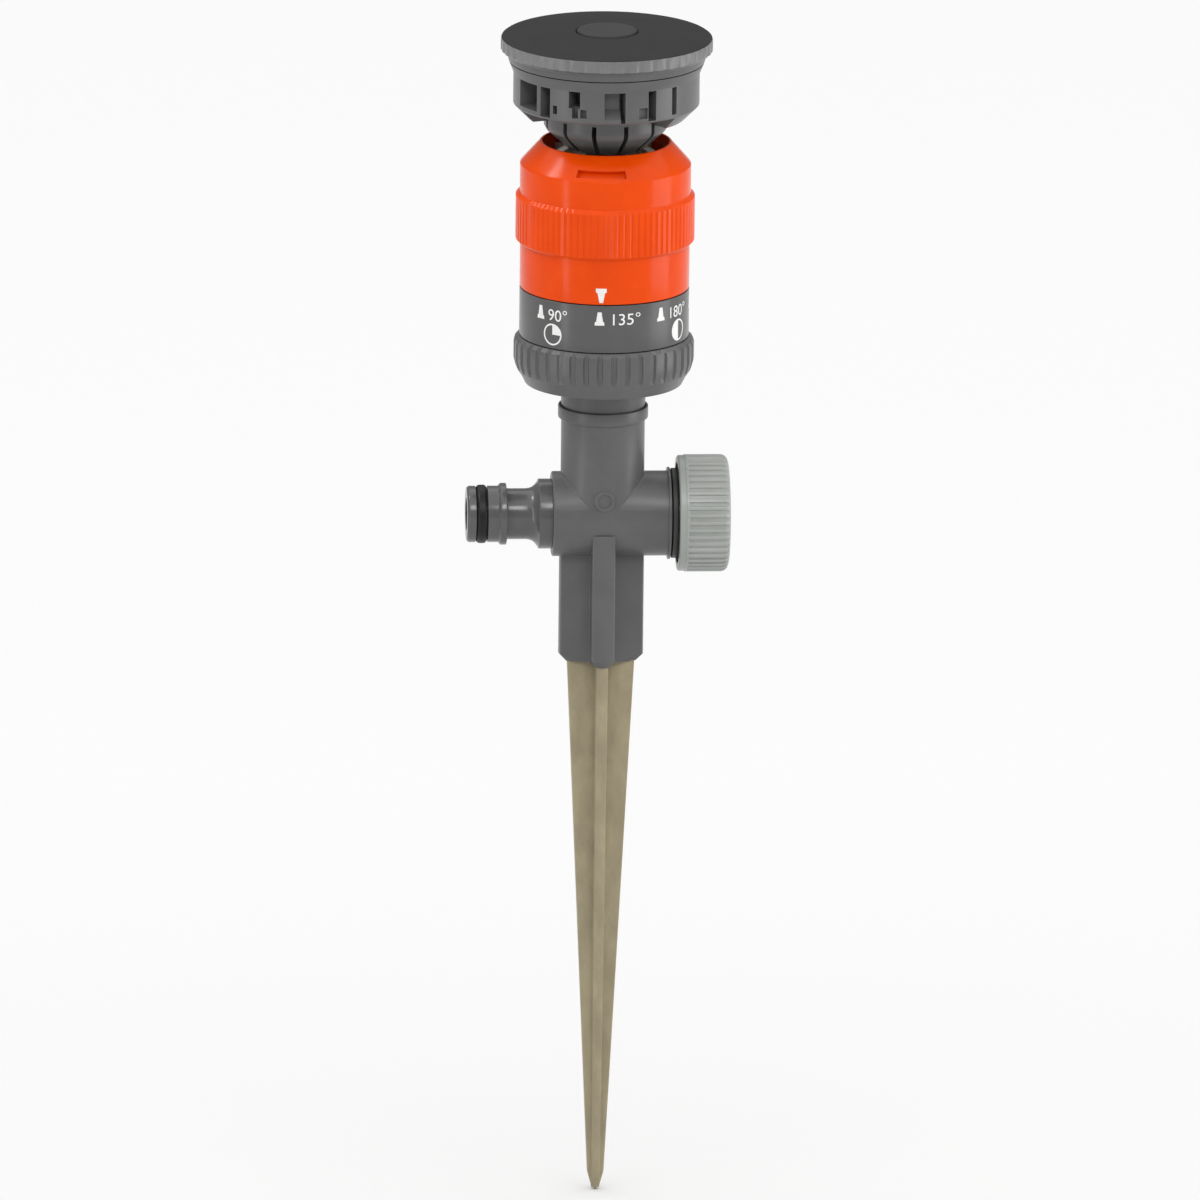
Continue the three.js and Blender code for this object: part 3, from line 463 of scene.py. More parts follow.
# %% The hidden materials
# Acetal is milky and waxy; the metals keep the fine rings that the lathe's tool leaves.
acetal = moulded("natural_acetal", "#e9e5da", "#e2ddcf", "#f3f0e8", 0.38, grain_depth=0.004)
inner_abs = moulded("plain_dark_abs", "#3e3e3e", "#393939", "#5a5a5a", 0.48)
steel = moulded(
    "turned_stainless_steel", "#b9bcc0", "#adb1b5", "#d4d6d8", 0.28, gloss=0.5, metallic=1.0, grain=0.2,
    stretch=(0.2, 0.2, 3), grain_depth=0.004,
)
brass = moulded(
    "cut_brass", "#caa255", "#bd9447", "#dcbc7c", 0.3, gloss=0.5, metallic=1.0, grain=0.2, grain_depth=0.004
)
FINISHES = {
    "grey_plastic": grey_abs,
    "dark_plastic": inner_abs,
    "dial_plastic": dial_abs,
    "orange_plastic": orange_abs,
    "knob_plastic": knob_abs,
    "champagne_plastic": champagne_polyamide,
    "natural_plastic": acetal,
    "rubber": nitrile,
    "steel": steel,
    "brass": brass,
}
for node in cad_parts.values():
    for material_slot in node.material_slots:
        name = material_slot.material.name.split(".")[0] if material_slot.material else ""
        material_slot.material = FINISHES.get(name, inner_abs)
        print(node.name, name)

# %% [markdown]
# ## The spike
# The spike is one moulding of two crossed blades. They taper in width and in thickness towards a blunt
# tip, and a tongue of the same cross stands in the socket above. One blade is drawn flat, given its
# thickness, thinned towards the tip and bevelled. Its turned copy is the other, and a boolean makes
# them one.

# %% Ground spike
TONGUE = 27.5  # the height of the spike's end inside the socket
SPIKE_DEPTH = 153.1
SHOULDER = -148.1  # where the taper ends and the point begins
BLADE = 9.4  # half the blade's width under the socket
TIP = 2.3  # half its width at the shoulder
BLADE_THICKNESS = 3.3
TIP_THICKNESS = 2.4
BLADE_EDGE = 0.45


def spike_blade(name):
    outline = [(-BLADE, TONGUE), (-BLADE, 0), (-TIP, SHOULDER, 2.5), (-1.1, -152.3, 1), (0, -SPIKE_DEPTH)]
    outline += [(-across, up, *fillet) for across, up, *fillet in outline[-2::-1]]
    blade = prism(name, outline, -BLADE_THICKNESS / 2, BLADE_THICKNESS / 2)
    pick(blade, lambda point: point.y < SHOULDER / 2)
    bpy.ops.transform.resize(value=(1, 1, TIP_THICKNESS / BLADE_THICKNESS), center_override=(0, 0, 0))
    bpy.ops.object.mode_set(mode="OBJECT")
    apply_modifier(
        blade,
        "BEVEL",
        width=BLADE_EDGE * MM,
        segments=2,
        limit_method="ANGLE",
        angle_limit=math.radians(50),
    )
    return place(blade, turn=(90, 0, 0))


spike = combine(
    spike_blade("spike"), place(spike_blade("second_blade"), turn=(0, 0, 90)), operation="UNION"
)
finish(spike, "spike_body", "champagne_plastic", champagne_polyamide, "ground_spike")

# %% [markdown]
# ## The valve body
# The body is a cross-shaped socket below, a level barrel that holds the valve, and an upright riser. It
# could be one subdivided mesh, but its walls are exact cylinders, so booleans of solids keep it true.
# The socket comes first: a prism of the cross, with its foot chamfered by moving the ends of its arms
# in.

# %% Socket
ARM = 3.2  # half the width of an arm of the socket
ARM_END = 11.9
CHAMFER = 2.3  # the height of the chamfered foot
SOCKET_TOP = 38.4
FOOT_IN = 2  # how far the foot of an arm is moved in
FOOT_WIDTH = 0.55  # its width, as a share of the arm's
BARREL = 42.25  # height of the barrel's axis
BARREL_WALL = 11.9
RISER_WALL = 11.7


def cross(reach, half, corner, inner):
    """The outline of a cross with rounded ends."""
    edge = math.sqrt(reach**2 - half**2)
    middle = math.sqrt(reach**2 - (half / 2) ** 2)
    arm = [(edge, -half, corner), (middle, -half / 2), (reach, 0), (middle, half / 2), (edge, half, corner)]
    arm.append((half, half, inner))
    outline = []
    for _ in range(4):
        outline += arm
        arm = [(-up, across, *fillet) for across, up, *fillet in arm]
    return outline


def along_barrel(piece):
    return place(piece, turn=(0, 90, 0), move=(0, 0, BARREL))


socket = prism("valve_shell", cross(ARM_END, ARM, 0.5, 0.8), 0, CHAMFER)
pick(socket, lambda point: point.z > CHAMFER / 2)
bpy.ops.mesh.extrude_region_move(TRANSFORM_OT_translate={"value": (0, 0, (SOCKET_TOP - CHAMFER) * MM)})
for across, away in ((1, 0), (-1, 0), (0, 1), (0, -1)):
    pick(socket, lambda point: point.z < 0.1 and point.x * across + point.y * away > 9)
    bpy.ops.transform.translate(value=(-FOOT_IN * MM * across, -FOOT_IN * MM * away, 0))
    narrow = (1, FOOT_WIDTH, 1) if across else (FOOT_WIDTH, 1, 1)
    bpy.ops.transform.resize(value=narrow, center_override=(0, 0, 0))
close_up()
print("socket", len(socket.data.vertices), "vertices")

# %% [markdown]
# ### Barrel, riser and boss
# The barrel ends in a thin flange that the bonnet sits on, and the riser in a collar round the swivel's
# bore. The round boss on the front is where the melt entered the mould. All three are turned and united
# with the socket. Both walls are nearly one size, so they meet in a V, and the mould has a small fillet
# along it.

# %% Barrel and riser
barrel = along_barrel(
    turned(
        "barrel",
        [
            (0, -14.2), (BARREL_WALL, -14.2, 0.6), (BARREL_WALL, 18.2), (12.9, 18.2, 0.2),
            (12.9, 18.9, 0.2), (0, 18.9),
        ],
    )
)
riser = turned(
    "riser",
    [
        (0, BARREL), (RISER_WALL, BARREL), (RISER_WALL, 70.3, 0.3), (12.6, 70.3, 0.3), (12.6, 73.8, 0.4),
        (0, 73.8),
    ],
)
GATE_HEIGHT = 48.55
GATE = [(0, 9), (2.9, 9), (2.9, 12.1, 0.3), (2.0, 12.1, 0.2), (1.8, 11.6, 0.2), (0, 11.6)]
gate_boss = place(turned("gate_boss", GATE, 48), turn=(90, 0, 0), move=(0, 0, GATE_HEIGHT))
for part in (barrel, riser, gate_boss):
    combine(socket, part, operation="UNION")


WALL_MARGIN = 0.06
MEETING_HEIGHT = BARREL + 1
MEETING_SIDE = 3  # nearer to the front than this the walls run into each other without an edge


def on_both_walls(vertex):
    """Whether the vertex is where the riser's wall meets the barrel's, above the barrel's axis."""
    point = vertex.co / MM
    from_riser = abs(math.hypot(point.x, point.y) - RISER_WALL)
    from_barrel = abs(math.hypot(point.y, point.z - BARREL) - BARREL_WALL)
    on_walls = from_riser < WALL_MARGIN and from_barrel < WALL_MARGIN
    return on_walls and point.z > MEETING_HEIGHT and abs(point.x) > MEETING_SIDE


pick(socket, lambda point: False)
bpy.ops.mesh.select_mode(type="EDGE")
bpy.ops.object.mode_set(mode="OBJECT")
meeting = {vertex.index for vertex in socket.data.vertices if on_both_walls(vertex)}
for edge in socket.data.edges:
    edge.select = set(edge.vertices) <= meeting
print("edges where riser and barrel meet", sum(edge.select for edge in socket.data.edges))
bpy.ops.object.mode_set(mode="EDIT")
bpy.ops.mesh.bevel(offset=0.35 * MM, segments=2, affect="EDGES")
close_up()

# %% [markdown]
# ### The bores
# The body is then bored: the waterway along the barrel, narrow where the valve's seat is, the riser's
# stepped bore with the groove for its clip, and the cross-shaped pocket for the spike's tongue.

# %% Bores
waterway = along_barrel(
    turned(
        "waterway",
        [(0, -16), (8, -16), (8, -8), (4.2, -8), (4.2, -5), (9.5, -5), (9.5, 20), (0, 20)],
        96,
    )
)
riser_bore = turned(
    "riser_bore",
    [
        (0, BARREL), (4.8, BARREL), (4.8, 59), (9.3, 59), (9.3, 61.7), (10, 61.7), (10, 63.3), (9.3, 63.3),
        (9.3, 72.9), (12.1, 72.9), (12.1, 75), (0, 75),
    ],
    96,
)
for bore in (waterway, riser_bore, prism("pocket", cross(9.75, 1.95, 0.2, 0.3), -1, 27.8)):
    combine(socket, bore)
finish(socket, "spike_body", "grey_plastic", grey_abs, "valve_body")

# %% [markdown]
# ## The hose nose
# A garden hose clicks over this nose: a groove holds the O-ring, a ridge and a waist hold the hose
# end's claws, and a collar seats against the barrel. It is one turned outline with small fillets, as
# its mould has.

# %% Hose connector
NOSE = [
    (4.6, -38), (7.4, -38, 0.2), (7.9, -37.4, 0.3), (7.9, -35.5, 0.15), (6.2, -35.5), (6.2, -32.2),
    (7.9, -32.2, 0.15), (7.9, -29.2, 0.3), (8.67, -28.6, 0.3), (8.67, -26.9, 0.3), (7.13, -26.9, 0.4),
    (7.13, -21.4), (7.25, -20.5), (7.6, -19.6), (8.2, -18.9), (9.1, -18.2), (9.8, -17.9, 0.2),
    (9.8, -14.3), (7.7, -14.3), (7.7, -12.8), (6.2, -12.8), (6.2, -10.6), (7.7, -10.6), (7.7, -8.3),
    (4.6, -8.3),
]
nose = along_barrel(turned("nose", NOSE))
finish(nose, "spike_body", "grey_plastic", connector_abs, "hose_connector")

# %% [markdown]
# The O-ring is squeezed flat against its groove, and bulges between the groove's walls. Its mould
# leaves a thin parting line round the outside, which is the small step in its section.

# %% Hose ring
RING_SECTION = [
    (6.3, -35.3, 0.4), (6.3, -32.4, 0.4), (7.6, -32.35, 0.6), (8.18, -33.0, 0.6), (8.18, -33.82),
    (8.23, -33.85), (8.18, -33.88), (8.18, -34.7, 0.6), (7.6, -35.35, 0.6),
]
hose_ring = along_barrel(turned("hose_ring", RING_SECTION))
finish(hose_ring, "spike_body", "rubber", nitrile, "hose_o_ring")

# %% [markdown]
# ## The flow valve's cover and knob
# The bonnet closes the barrel and guides the valve's plug with two keyways. It is turned, and one flat
# bar cuts both keyways.

# %% Valve bonnet
BONNET = [
    (3.3, 20.7), (12.6, 20.7, 0.3), (12.6, 19.3, 0.2), (9.2, 19.3), (9.2, 17.6), (7.7, 17.6), (7.7, 15.4),
    (9.2, 15.4), (9.2, 3), (6.6, 3), (6.6, 16), (3.3, 16),
]
bonnet = turned("bonnet", BONNET, 96)
keyways = [(-1.3, -7.9), (1.3, -7.9), (1.3, 7.9), (-1.3, 7.9)]
combine(bonnet, prism("keyways", keyways, 2, 14))
finish(along_barrel(bonnet), "spike_body", "dark_plastic", inner_abs, "valve_bonnet")

# %% [markdown]
# ### The knob
# The knob is a cup with 48 grooves pressed into its skirt between two plain bands, so that wet fingers
# can turn it. A cap covers its screw. The grooves could be cut with 48 booleans. Pressing the columns
# of a turned wall is quicker and leaves clean quads.

# %% Flow knob
KNOB = 16.4
KNOB_RIBS = 48
KNOB_OUTLINE = [
    (1.5, 29.8), (2.8, 29.8), (2.8, 21.2), (5.4, 21.2), (5.4, 32.4), (14.2, 32.4, 0.4), (14.2, 21),
    (15.8, 21, 0.2), (16.2, 21.3, 0.2), (16.2, 22.8), (KNOB, 23), (KNOB, 23.3), (KNOB, 23.8), (KNOB, 33.2),
    (16.15, 34.1), (15.5, 34.8), (14.5, 35.2), (6.3, 35.2, 0.2), (6, 34.9), (6, 31.4), (1.5, 31.4),
]
knob = turned("knob", KNOB_OUTLINE, KNOB_RIBS * 6)
press_grooves(
    knob, KNOB_RIBS, KNOB, depth=0.5, width=2.6, reaches=lambda radius, z: radius > 16 and 23.5 < z < 34.3
)
finish(along_barrel(knob), "flow_knob", "knob_plastic", knob_abs, "flow_knob", sharp=24)

CAP = [(0, 33.8), (5.7, 33.8), (5.7, 34.8, 0.2), (5.4, 35.2, 0.2), (4.6, 35.2), (4.3, 35.0), (0, 34.9)]
finish(along_barrel(turned("cap_of_knob", CAP)), "flow_knob", "knob_plastic", knob_abs, "knob_cap")

# %% [markdown]
# ## The swivel base
# The base cap turns in the riser. Its bowl runs smooth up to a wall with forty broad grooves for the
# fingers. They run out over the shoulder, so the top edge is scalloped, while the bowl below stays
# smooth.

# %% Base cap
CAP_RIBS = 40
CAP_WALL = 25.2
BASE = [
    (6.5, 60), (8.5, 60), (9, 60.5), (9, 61.7), (8, 61.7), (8, 63.3), (9, 63.3), (9, 66.4), (7.3, 66.4),
    (7.3, 68.6), (9, 68.6), (9, 73.2), (11.8, 73.2, 0.2), (11.8, 80.5, 0.5), (22, 80.5, 0.4), (23.1, 82.7),
    (23.85, 83.8), (24.3, 84.5), (24.75, 85.7), (CAP_WALL, 87.5), (CAP_WALL, 92.2), (24.9, 93.1),
    (23.9, 94.05, 0.2), (22.2, 94.05), (22.2, 84.5), (6.5, 84.5),
]
base = turned("base", BASE, CAP_RIBS * 8)
press_grooves(
    base,
    CAP_RIBS,
    CAP_WALL,
    depth=0.65,
    width=2.6,
    reaches=lambda radius, z: radius > 24.4 and 85 < z < 93.5,
    first=-2.25,
)
place(base, turn=(0, 0, FRONT))
finish(base, "head_base", "grey_plastic", grey_abs, "base_cap", sharp=24)

# %% [markdown]
# ## The dial and its tower
# The dial carries the printed scale. Above it a thin tower, hidden by the orange ring, is what the ring
# turns on.

# %% Dial housing
DIAL = 23.7
HOUSING = [
    (19.3, 88), (21.9, 88), (21.9, 89.2), (20.4, 89.2), (20.4, 91.4), (21.9, 91.4), (21.9, 94.3),
    (DIAL, 94.3, 0.25), (DIAL, 107.9, 0.25), (20.5, 107.9), (20.5, 112), (20.1, 112), (20.1, 113.6),
    (20.5, 113.6), (20.5, 143), (19.3, 143),
]
dial = turned("dial", HOUSING, 192)
finish(dial, "head_base", "dial_plastic", dial_abs, "dial_housing")

# %% [markdown]
# ## The sector ring
# The orange ring is gripped by its ribbed band. It has 82 fine grooves between two chamfers. The cone
# above ends in the mouth that the spray head dips into, with four slots for the arc sleeve's splines
# and one long recess at the front.

# %% Sector ring
BAND = 25.0
BAND_RIBS = 82
RING = [
    (20.9, 108.2), (DIAL, 108.2, 0.3), (DIAL, 120.9), (24, 120.9), (BAND, 121.9), (BAND, 134.3), (24, 135.3),
    (23.9, 135.3), (23.9, 143.3, 0.5), (23.4, 143.9, 0.4), (18.3, 149.6, 0.3), (17.8, 149.6), (17.8, 143.5),
    (20.9, 143.5), (20.9, 113.3), (20.4, 113.3), (20.4, 112.3), (20.9, 112.3),
]
ring = turned("arc_ring", RING, BAND_RIBS * 4)
press_grooves(
    ring, BAND_RIBS, BAND, depth=0.28, width=0.6, reaches=lambda radius, z: radius > 24.7 and 121 < z < 135
)
spline = [(16.8, -1.5), (19.4, -1.5), (19.4, 1.5), (16.8, 1.5)]
RECESS = [(21.9, 142.95), (23.9, 144.85), (22.2, 146.8), (20.2, 144.9)]
combine(ring, sector("recess", RECESS, -21, 15))
place(ring, turn=(0, 0, FRONT))
combine(ring, *[place(prism("spline", spline, 142.5, 148), turn=(0, 0, 45 + 90 * i)) for i in range(4)])
finish(ring, "sector_ring", "orange_plastic", orange_abs, "sector_ring", sharp=24)

# %% [markdown]
# ## The spray head
# Water leaves through the slits in the head's lower wall and is thrown out between its teeth. The body
# is turned with the teeth as one solid band. The windows between them are then cut through it, each to
# its own depth, and the slits are sawn in from below. The back half repeats the front.

# %% Rotor
HALVES = (0, 180)
SLITS = 12
FIRST_SLIT = -131
ROTOR = [
    (2.6, 143.9), (5.5, 143.9), (5.5, 164), (17, 164), (17, 160.6), (15.4, 159), (15.4, 155), (13.8, 153.3),
    (11.6, 151.3), (10.2, 150), (10.2, 148.2), (11, 148.2), (15.3, 152), (16.7, 153.3, 0.5), (17.4, 154.6),
    (17.4, 156.8, 0.3), (22, 156.8, 0.3), (26, 160.8, 0.3), (26, 169.5), (26, 169.6), (27.3, 172.7, 0.15),
    (1.8, 172.7), (1.8, 168.3), (2.6, 168.3),
]
UNDERCUT = [(17.4, 155.5), (28, 155.5), (28, 160.4), (19.2, 160.4), (19.2, 159.2), (17.4, 158.6)]
WINDOW_TOP = 169.5
WINDOWS = [  # start and end in degrees from the front, bottom, radius at the back
    (-67.6, -48, 161.9, 19.2),
    (-45, -37, 160.9, 19.2),
    (-23.8, -16.2, 164.6, 19.2),
    (9.1, 12.1, 160.6, 19.2),
    (26.9, 32.5, 160.9, 19.2),
    (44.8, 49, 161.6, 19.2),
]
SCOOPS = [  # the same, with the top after the bottom
    (-35, -31.8, 162.3, 164.8, 22),
    (-16.2, -12, 162, 164.5, 24.4),
    (-21.6, -17.5, 161.8, 165, 23.6),
    (20.6, 26.5, 161.7, 164.9, 24.9),
]

# %% [markdown]
# ### Cutting the head
# Below the teeth an undercut leaves the slit wall bare. Windows, one shallow panel and small scoops are
# cut in turn, and twelve slits are sawn in from below. All tools of one cut are joined first, so each
# needs one boolean.

# %% Rotor cuts
rotor = turned("rotor", ROTOR, 180)
combine(rotor, *[sector("undercut", UNDERCUT, turn - 67.6, turn + 49) for turn in HALVES])


def window(start, end, bottom, back, top=WINDOW_TOP):
    return sector("window", [(back, bottom), (28, bottom), (28, top), (back, top)], start, end)


combine(
    rotor,
    *[
        window(start + turn, end + turn, bottom, back)
        for turn in HALVES
        for start, end, bottom, back in WINDOWS
    ],
)
panel = [(22.6, 164.2), (24.4, 163.2), (26.5, 161.2), (28, 161.2), (28, WINDOW_TOP), (22.6, WINDOW_TOP)]
combine(
    rotor,
    *[sector("panel", panel, turn - 1.2, turn + 9.2) for turn in HALVES],
    *[
        window(start + turn, end + turn, bottom, back, top)
        for turn in HALVES
        for start, end, bottom, top, back in SCOOPS
    ],
)
saw = [(9, -0.7), (21.2, -0.7), (21.2, 0.7), (9, 0.7)]
combine(
    rotor,
    *[
        place(prism("saw", saw, 147.2, 157.6), turn=(0, 0, FIRST_SLIT + i * 360 / SLITS))
        for i in range(SLITS)
    ],
)
place(rotor, turn=(0, 0, FRONT))
finish(rotor, "spray_head", "dark_plastic", rotor_abs, "stream_rotor")

# %% [markdown]
# ## The disc on top
# The dark disc sends the water outwards. Its rim has 46 fine scallops, and its crown falls gently to
# the rim. One turned piece carries three finishes, since a material can be given face by face, by
# height and slope. The rim's finish is a paler copy of the mid-grey, a painted highlight on its ribs.

# %% Deflector disc
DISC = 29.6
RIM_RIBS = 46
DISC_OUTLINE = [
    (1.7, 173), (7, 173), (7, 178), (25.4, 178), (25.4, 173), (27.4, 173, 0.2), (27.9, 174.9, 0.2),
    (28.5, 175.6), (DISC, 176.1), (DISC, 176.5), (DISC, 178.8), (29.4, 179.3), (28.9, 179.65),
    (20, 180.5), (9.0, 181.1, 0.2), (8.7, 180.8), (8.7, 180.1), (4.2, 180.1), (4.2, 176.6), (1.7, 176.6),
]
disc = turned("disc", DISC_OUTLINE, RIM_RIBS * 6)
press_grooves(disc, RIM_RIBS, DISC, depth=0.3, width=2.8, reaches=lambda radius, z: radius > 29.5, first=-1)
finish(disc, "spray_head", "dark_plastic", disc_abs, "deflector_disc", sharp=24)
disc.data.materials.append(rotor_abs)
disc.data.materials.append(rim_abs_painted_highlight)
DARK, GREY, RIM = range(3)
CROWN_BOTTOM, RIM_BOTTOM, RIM_INSIDE = 179, 176, 28.5
LEVEL = 0.5  # a face that points up more than this is part of the crown
for face in disc.data.polygons:
    height, radius = face.center.z / MM, math.hypot(face.center.x, face.center.y) / MM
    if height > CROWN_BOTTOM and face.normal.z > LEVEL:
        face.material_index = DARK
    # The rim gets the paler copy of the mid-grey: a painted highlight on its ribs.
    elif height > RIM_BOTTOM and radius > RIM_INSIDE:
        face.material_index = RIM
    else:
        face.material_index = GREY

# %% [markdown]
# A round plug closes the hole over the head's screw, a little proud, with a thin gap round it.

# %% Crown plug
PLUG = [(0, 180.3), (8.4, 180.3), (8.4, 181.1, 0.1), (8.1, 181.5, 0.15), (6, 181.5), (0, 181.45)]
finish(turned("crown_plug", PLUG, 96), "spray_head", "dark_plastic", plug_abs, "boss_plug")

# %% [markdown]
# ## The print
# A soft pad presses white ink onto the dial: arrowheads, numbers, and small pictures of the watered
# sector. A picture file could be laid over the wall, but the ink would then have no thickness of its
# own. Each mark is drawn flat in front of the dial, wrapped onto it, turned to its place, and given the
# thickness of a coat of ink. The pointer on the orange ring is made the same way.

# %% White print
INK = 0.03  # the thickness of the coat
IN_FRONT = -30  # where the flat shapes are drawn, clear of the head
PIE_STEP = 12  # degrees between the points of a round outline
white_ink = moulded("white_pad_print", "#e8e8e6", "#dededc", "#ffffff", 0.5, patch=2.0, grain=0.3, edge=0.01)


def flat_shape(name, outline):
    """A flat outline of (across, up), standing in front of the sprinkler."""
    piece = chain(name, [Vector((point.x, IN_FRONT, point.y)) for point in rounded(outline)])
    bpy.ops.mesh.select_all(action="SELECT")
    bpy.ops.mesh.edge_face_add()
    bpy.ops.mesh.quads_convert_to_tris()
    bpy.ops.mesh.subdivide(number_cuts=2)
    bpy.ops.object.mode_set(mode="OBJECT")
    return piece


def flat_number(name, text, across, up, size):
    """A number in the plain font that Blender carries, made a mesh."""
    deselect()
    bpy.ops.object.text_add()
    piece = bpy.context.object
    piece.data.body = text
    piece.data.size = size * MM
    bpy.ops.object.convert(target="MESH")
    piece = bpy.context.object
    piece.name = piece.data.name = name
    return place(piece, turn=(90, 0, 0), move=(across, IN_FRONT, up))


def pie(radius, start, end, across, up, inner=0.0):
    """The outline of a sector, or of a part of a ring, with angles in degrees."""
    steps = max(2, math.ceil(abs(end - start) / PIE_STEP))
    angles = [math.radians(start + (end - start) * i / steps) for i in range(steps + 1)]
    outline = [(across + radius * math.cos(a), up + radius * math.sin(a)) for a in angles]
    if inner:
        outline += [(across + inner * math.cos(a), up + inner * math.sin(a)) for a in reversed(angles)]
    elif abs(end - start) < 360:
        outline.append((across, up))
    return outline


def printed(pieces, target, turn):
    """Wraps flat pieces onto the target and turns them to their place."""
    mark = together(pieces)
    apply_modifier(
        mark,
        "SHRINKWRAP",
        target=target,
        wrap_method="PROJECT",
        use_project_y=True,
        use_positive_direction=True,
        use_negative_direction=False,
        offset=0.02 * MM,
    )
    return place(mark, turn=(0, 0, turn))


# %% [markdown]
# ### The scale
# The marks stand 45 degrees apart, from 90 to 360, so that the ring's pointer shows the sector by
# itself. Under four of them a small picture shows that sector: a rim with part of its disc filled in
# white.

# %% Dial scale
DIAL_MARKS = [(-48 + 45 * i, 90 + 45 * i) for i in range(7)]
# The pictures of the sector: where each stands, and from where to where its white part goes, in degrees.
PICTURES = [(-37.3, 0, 90), (60.5, 90, 270), (151, 0, 270), (241, 0, 360)]
PICTURE_HEIGHT = 98.4
OUTER, INNER = 3.1, 2.65  # the radii of a picture's rim
ARROW = [
    (-1.4, 102.3), (1.4, 102.3), (1.3, 103.2), (0.95, 103.4), (0.55, 106.1), (-0.55, 106.1), (-0.95, 103.4),
    (-1.3, 103.2),
]
marks = []
for angle, degrees in DIAL_MARKS:
    arrow = flat_shape("arrow", ARROW)
    number = flat_number("number", f"{degrees}°", 2.8, 102.4, 4.6)
    marks.append(printed([arrow, number], dial, angle + FRONT))
for angle, start, end in PICTURES:
    rims = [
        flat_shape("rim", pie(OUTER, quarter, quarter + 90, 0, PICTURE_HEIGHT, inner=INNER))
        for quarter in (0, 90, 180, 270)
    ]
    fan = flat_shape("fan", pie(INNER, start, end, 0, PICTURE_HEIGHT))
    marks.append(printed([*rims, fan], dial, angle + FRONT))
scale = together(marks)
scale.name = scale.data.name = "dial_scale"
apply_modifier(scale, "SOLIDIFY", thickness=INK * MM, offset=1)
finish(scale, "head_base", "dial_plastic", white_ink)

# %% [markdown]
# ### The pointer
# The pointer on the orange ring is the arrowhead turned over. It rides with the ring, not the dial.

# %% Ring pointer
POINTER = [
    (-1.5, 112.9), (-1.5, 111.8), (-1.05, 111.6), (-0.5, 108.8), (0.5, 108.8), (1.05, 111.6), (1.5, 111.8),
    (1.5, 112.9),
]
POINTER_ANGLE = -2
pointer = printed([flat_shape("pointer", POINTER)], ring, POINTER_ANGLE + FRONT)
pointer.name = pointer.data.name = "ring_pointer"
apply_modifier(pointer, "SOLIDIFY", thickness=INK * MM, offset=1)
finish(pointer, "sector_ring", "orange_plastic", white_ink)

# %% [markdown]
# ## The stage
# The sprinkler stands free on a plain white floor, wide enough to be the backdrop as well. A matt floor
# keeps the soft shadow under the tip and shows no reflection.

# %% Floor
FLOOR_SIZE = 60.0
FLOOR_GAP = 0.2 * MM  # so that the tip and the floor never share a place
deselect()
bpy.ops.mesh.primitive_plane_add(size=FLOOR_SIZE, location=(0, 0, cad_box[0][2] - FLOOR_GAP))
floor = bpy.context.object
floor.name = "floor"
white_floor = bpy.data.materials.new("white_studio_floor")
white_floor.use_nodes = True
floor_shader = white_floor.node_tree.nodes["Principled BSDF"]
floor_shader.inputs["Base Color"].default_value = linear("#ffffff")
floor_shader.inputs["Roughness"].default_value = 0.9
floor_shader.inputs["Specular IOR Level"].default_value = 0.1
floor.data.materials.append(white_floor)
print("floor", FLOOR_SIZE, "m square")

# %% [markdown]
# ### The surroundings
# Light from all sides fills the shadows, but weakly, so that the shapes keep their modelling. Past the
# edge of the floor the camera sees the same white as on it.

# %% World
world = bpy.data.worlds.new("studio")
bpy.context.scene.world = world
world.use_nodes = True
BACKDROP, FILL = 0.965, 0.3  # how bright the world looks, and how strongly it lights
background = world.node_tree.nodes["Background"]
background.inputs["Color"].default_value = (1, 1, 1, 1)
ray = add_node(world.node_tree, "ShaderNodeLightPath")
strength = add_node(
    world.node_tree,
    "ShaderNodeMath",
    {"operation": "MULTIPLY_ADD", 1: BACKDROP - FILL, 2: FILL},
    {0: ray.outputs["Is Camera Ray"]},
)
world.node_tree.links.new(strength.outputs[0], background.inputs["Strength"])
bpy.context.scene.view_settings.view_transform = "Standard"
print("world strength", FILL)

# %% [markdown]
# ### The lights
# Two tall, narrow lights at the sides draw the long highlights on the round walls. A broad one in front
# lights what faces the camera, a small one on the left catches the cone, and a wide panel high above
# lights the floor.

# %% Lights
LIGHT_AIM = (0, 0, 0.05)


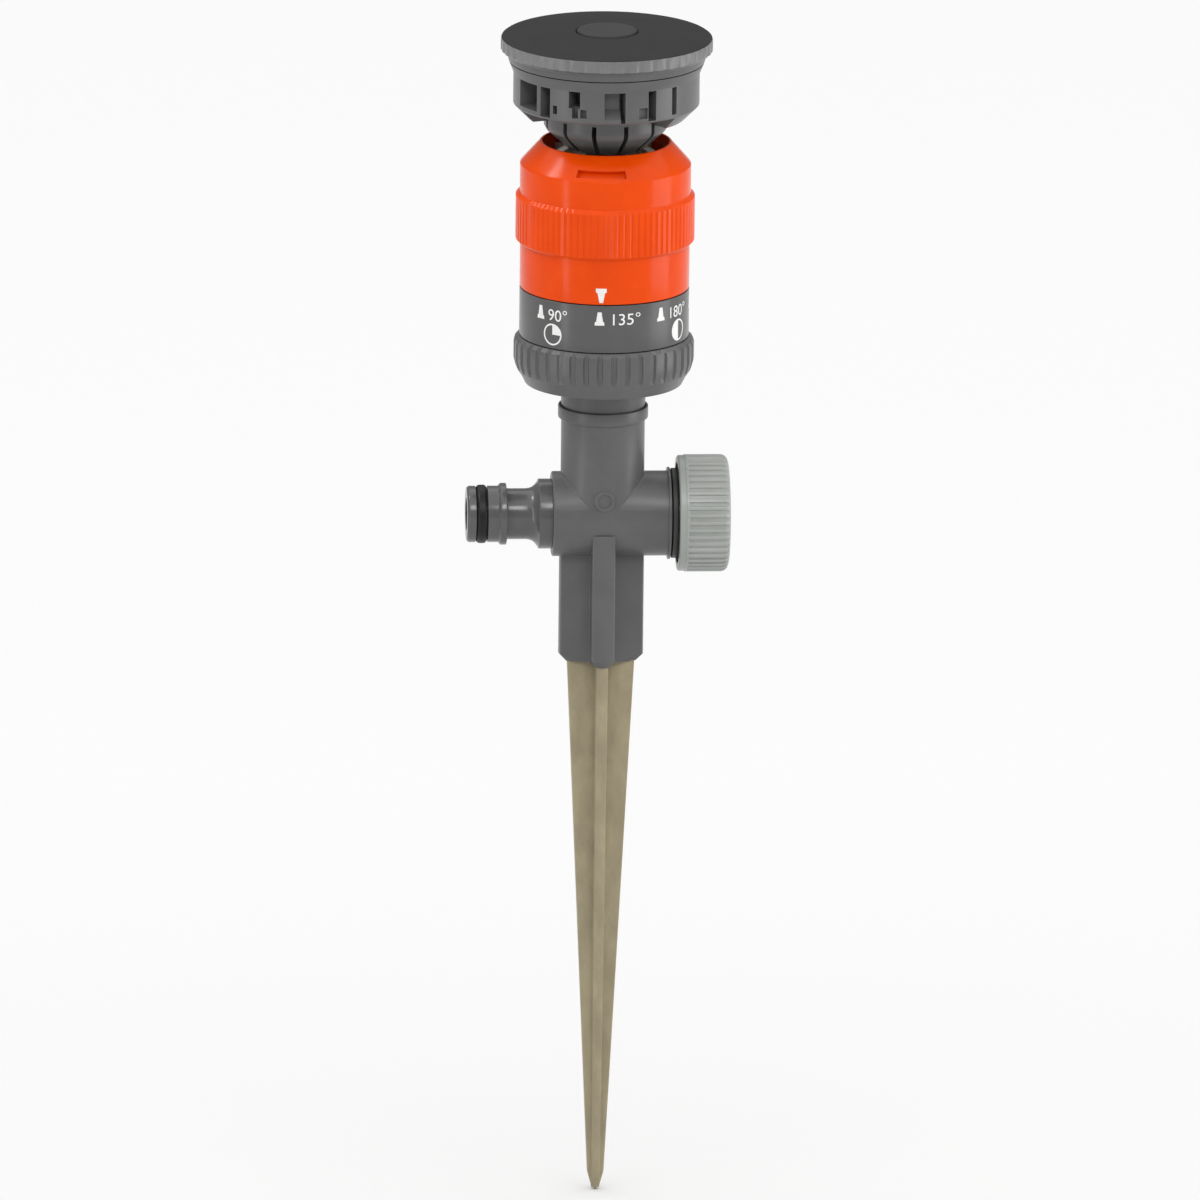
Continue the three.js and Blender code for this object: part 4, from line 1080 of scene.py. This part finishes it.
def area_light(name, azimuth, elevation, distance, width, height, radiance):
    """A rectangle of light, aimed at the sprinkler. Azimuth is in degrees from the front towards +X."""
    around, up = math.radians(azimuth), math.radians(elevation)
    out = Vector((math.sin(around) * math.cos(up), -math.cos(around) * math.cos(up), math.sin(up)))
    data = bpy.data.lights.new(name, "AREA")
    data.shape = "RECTANGLE"
    data.size, data.size_y = width, height
    data.energy = radiance * math.pi * width * height
    light = bpy.data.objects.new(name, data)
    bpy.context.collection.objects.link(light)
    light.location = Vector(LIGHT_AIM) + out * distance
    light.rotation_euler = (-out).to_track_quat("-Z", "Y").to_euler()
    return light


studio_lights = [
    area_light("left_strip", -57, 2, 0.65, 0.08, 0.7, 5.0),
    area_light("right_strip", 78, 2, 0.7, 0.4, 0.7, 3.0),
    area_light("key_light", 6, 40, 1.5, 0.5, 0.4, 9.0),
    area_light("cone_light", -100, 48, 1.0, 0.2, 0.2, 14.0),
]
area_light("sky_panel", 0, 89, 5.0, 12.0, 12.0, 1.1)
print(len(studio_lights) + 1, "lights")

# %% [markdown]
# The near lights would leave bright pools on the floor. A light's receiver collection says what it
# reaches, and an entry can be an exclusion, so these lights reach all but the floor.

# %% Lights and the floor
lit = bpy.data.collections.new("all_but_floor")
lit.objects.link(floor)
lit.collection_objects[0].light_linking.link_state = "EXCLUDE"
for light in studio_lights:
    light.light_linking.receiver_collection = lit
print("the floor is left out by", [light.name for light in studio_lights])

# %% [markdown]
# ## The camera
# A long lens far away, as for a catalogue: near and far parts keep one scale. It stands a little to the
# left, looks down by 14.5 degrees and leans very slightly.

# %% Camera
CAMERA_DISTANCE = 13.05
LENS, SENSOR = 1400, 36  # mm
VIEW_END = 200
AZIMUTH = -3.6
TILT = 14.5
LEAN = 0.6
TARGET = Vector((-0.0003, 0, 0.0172))
lens = bpy.data.cameras.new("camera")
lens.sensor_width = SENSOR
lens.lens = LENS
lens.clip_end = VIEW_END
camera = bpy.data.objects.new("camera", lens)
bpy.context.collection.objects.link(camera)
around, down = math.radians(AZIMUTH), math.radians(TILT)
outward = Vector((math.sin(around) * math.cos(down), -math.cos(around) * math.cos(down), math.sin(down)))
camera.location = TARGET + outward * CAMERA_DISTANCE
camera.rotation_mode = "XYZ"
camera.rotation_euler = (math.radians(90 - TILT), 0, around)
camera.rotation_euler.rotate_axis("Z", math.radians(LEAN))
bpy.context.scene.camera = camera
print("camera at", tuple(round(value, 3) for value in camera.location))
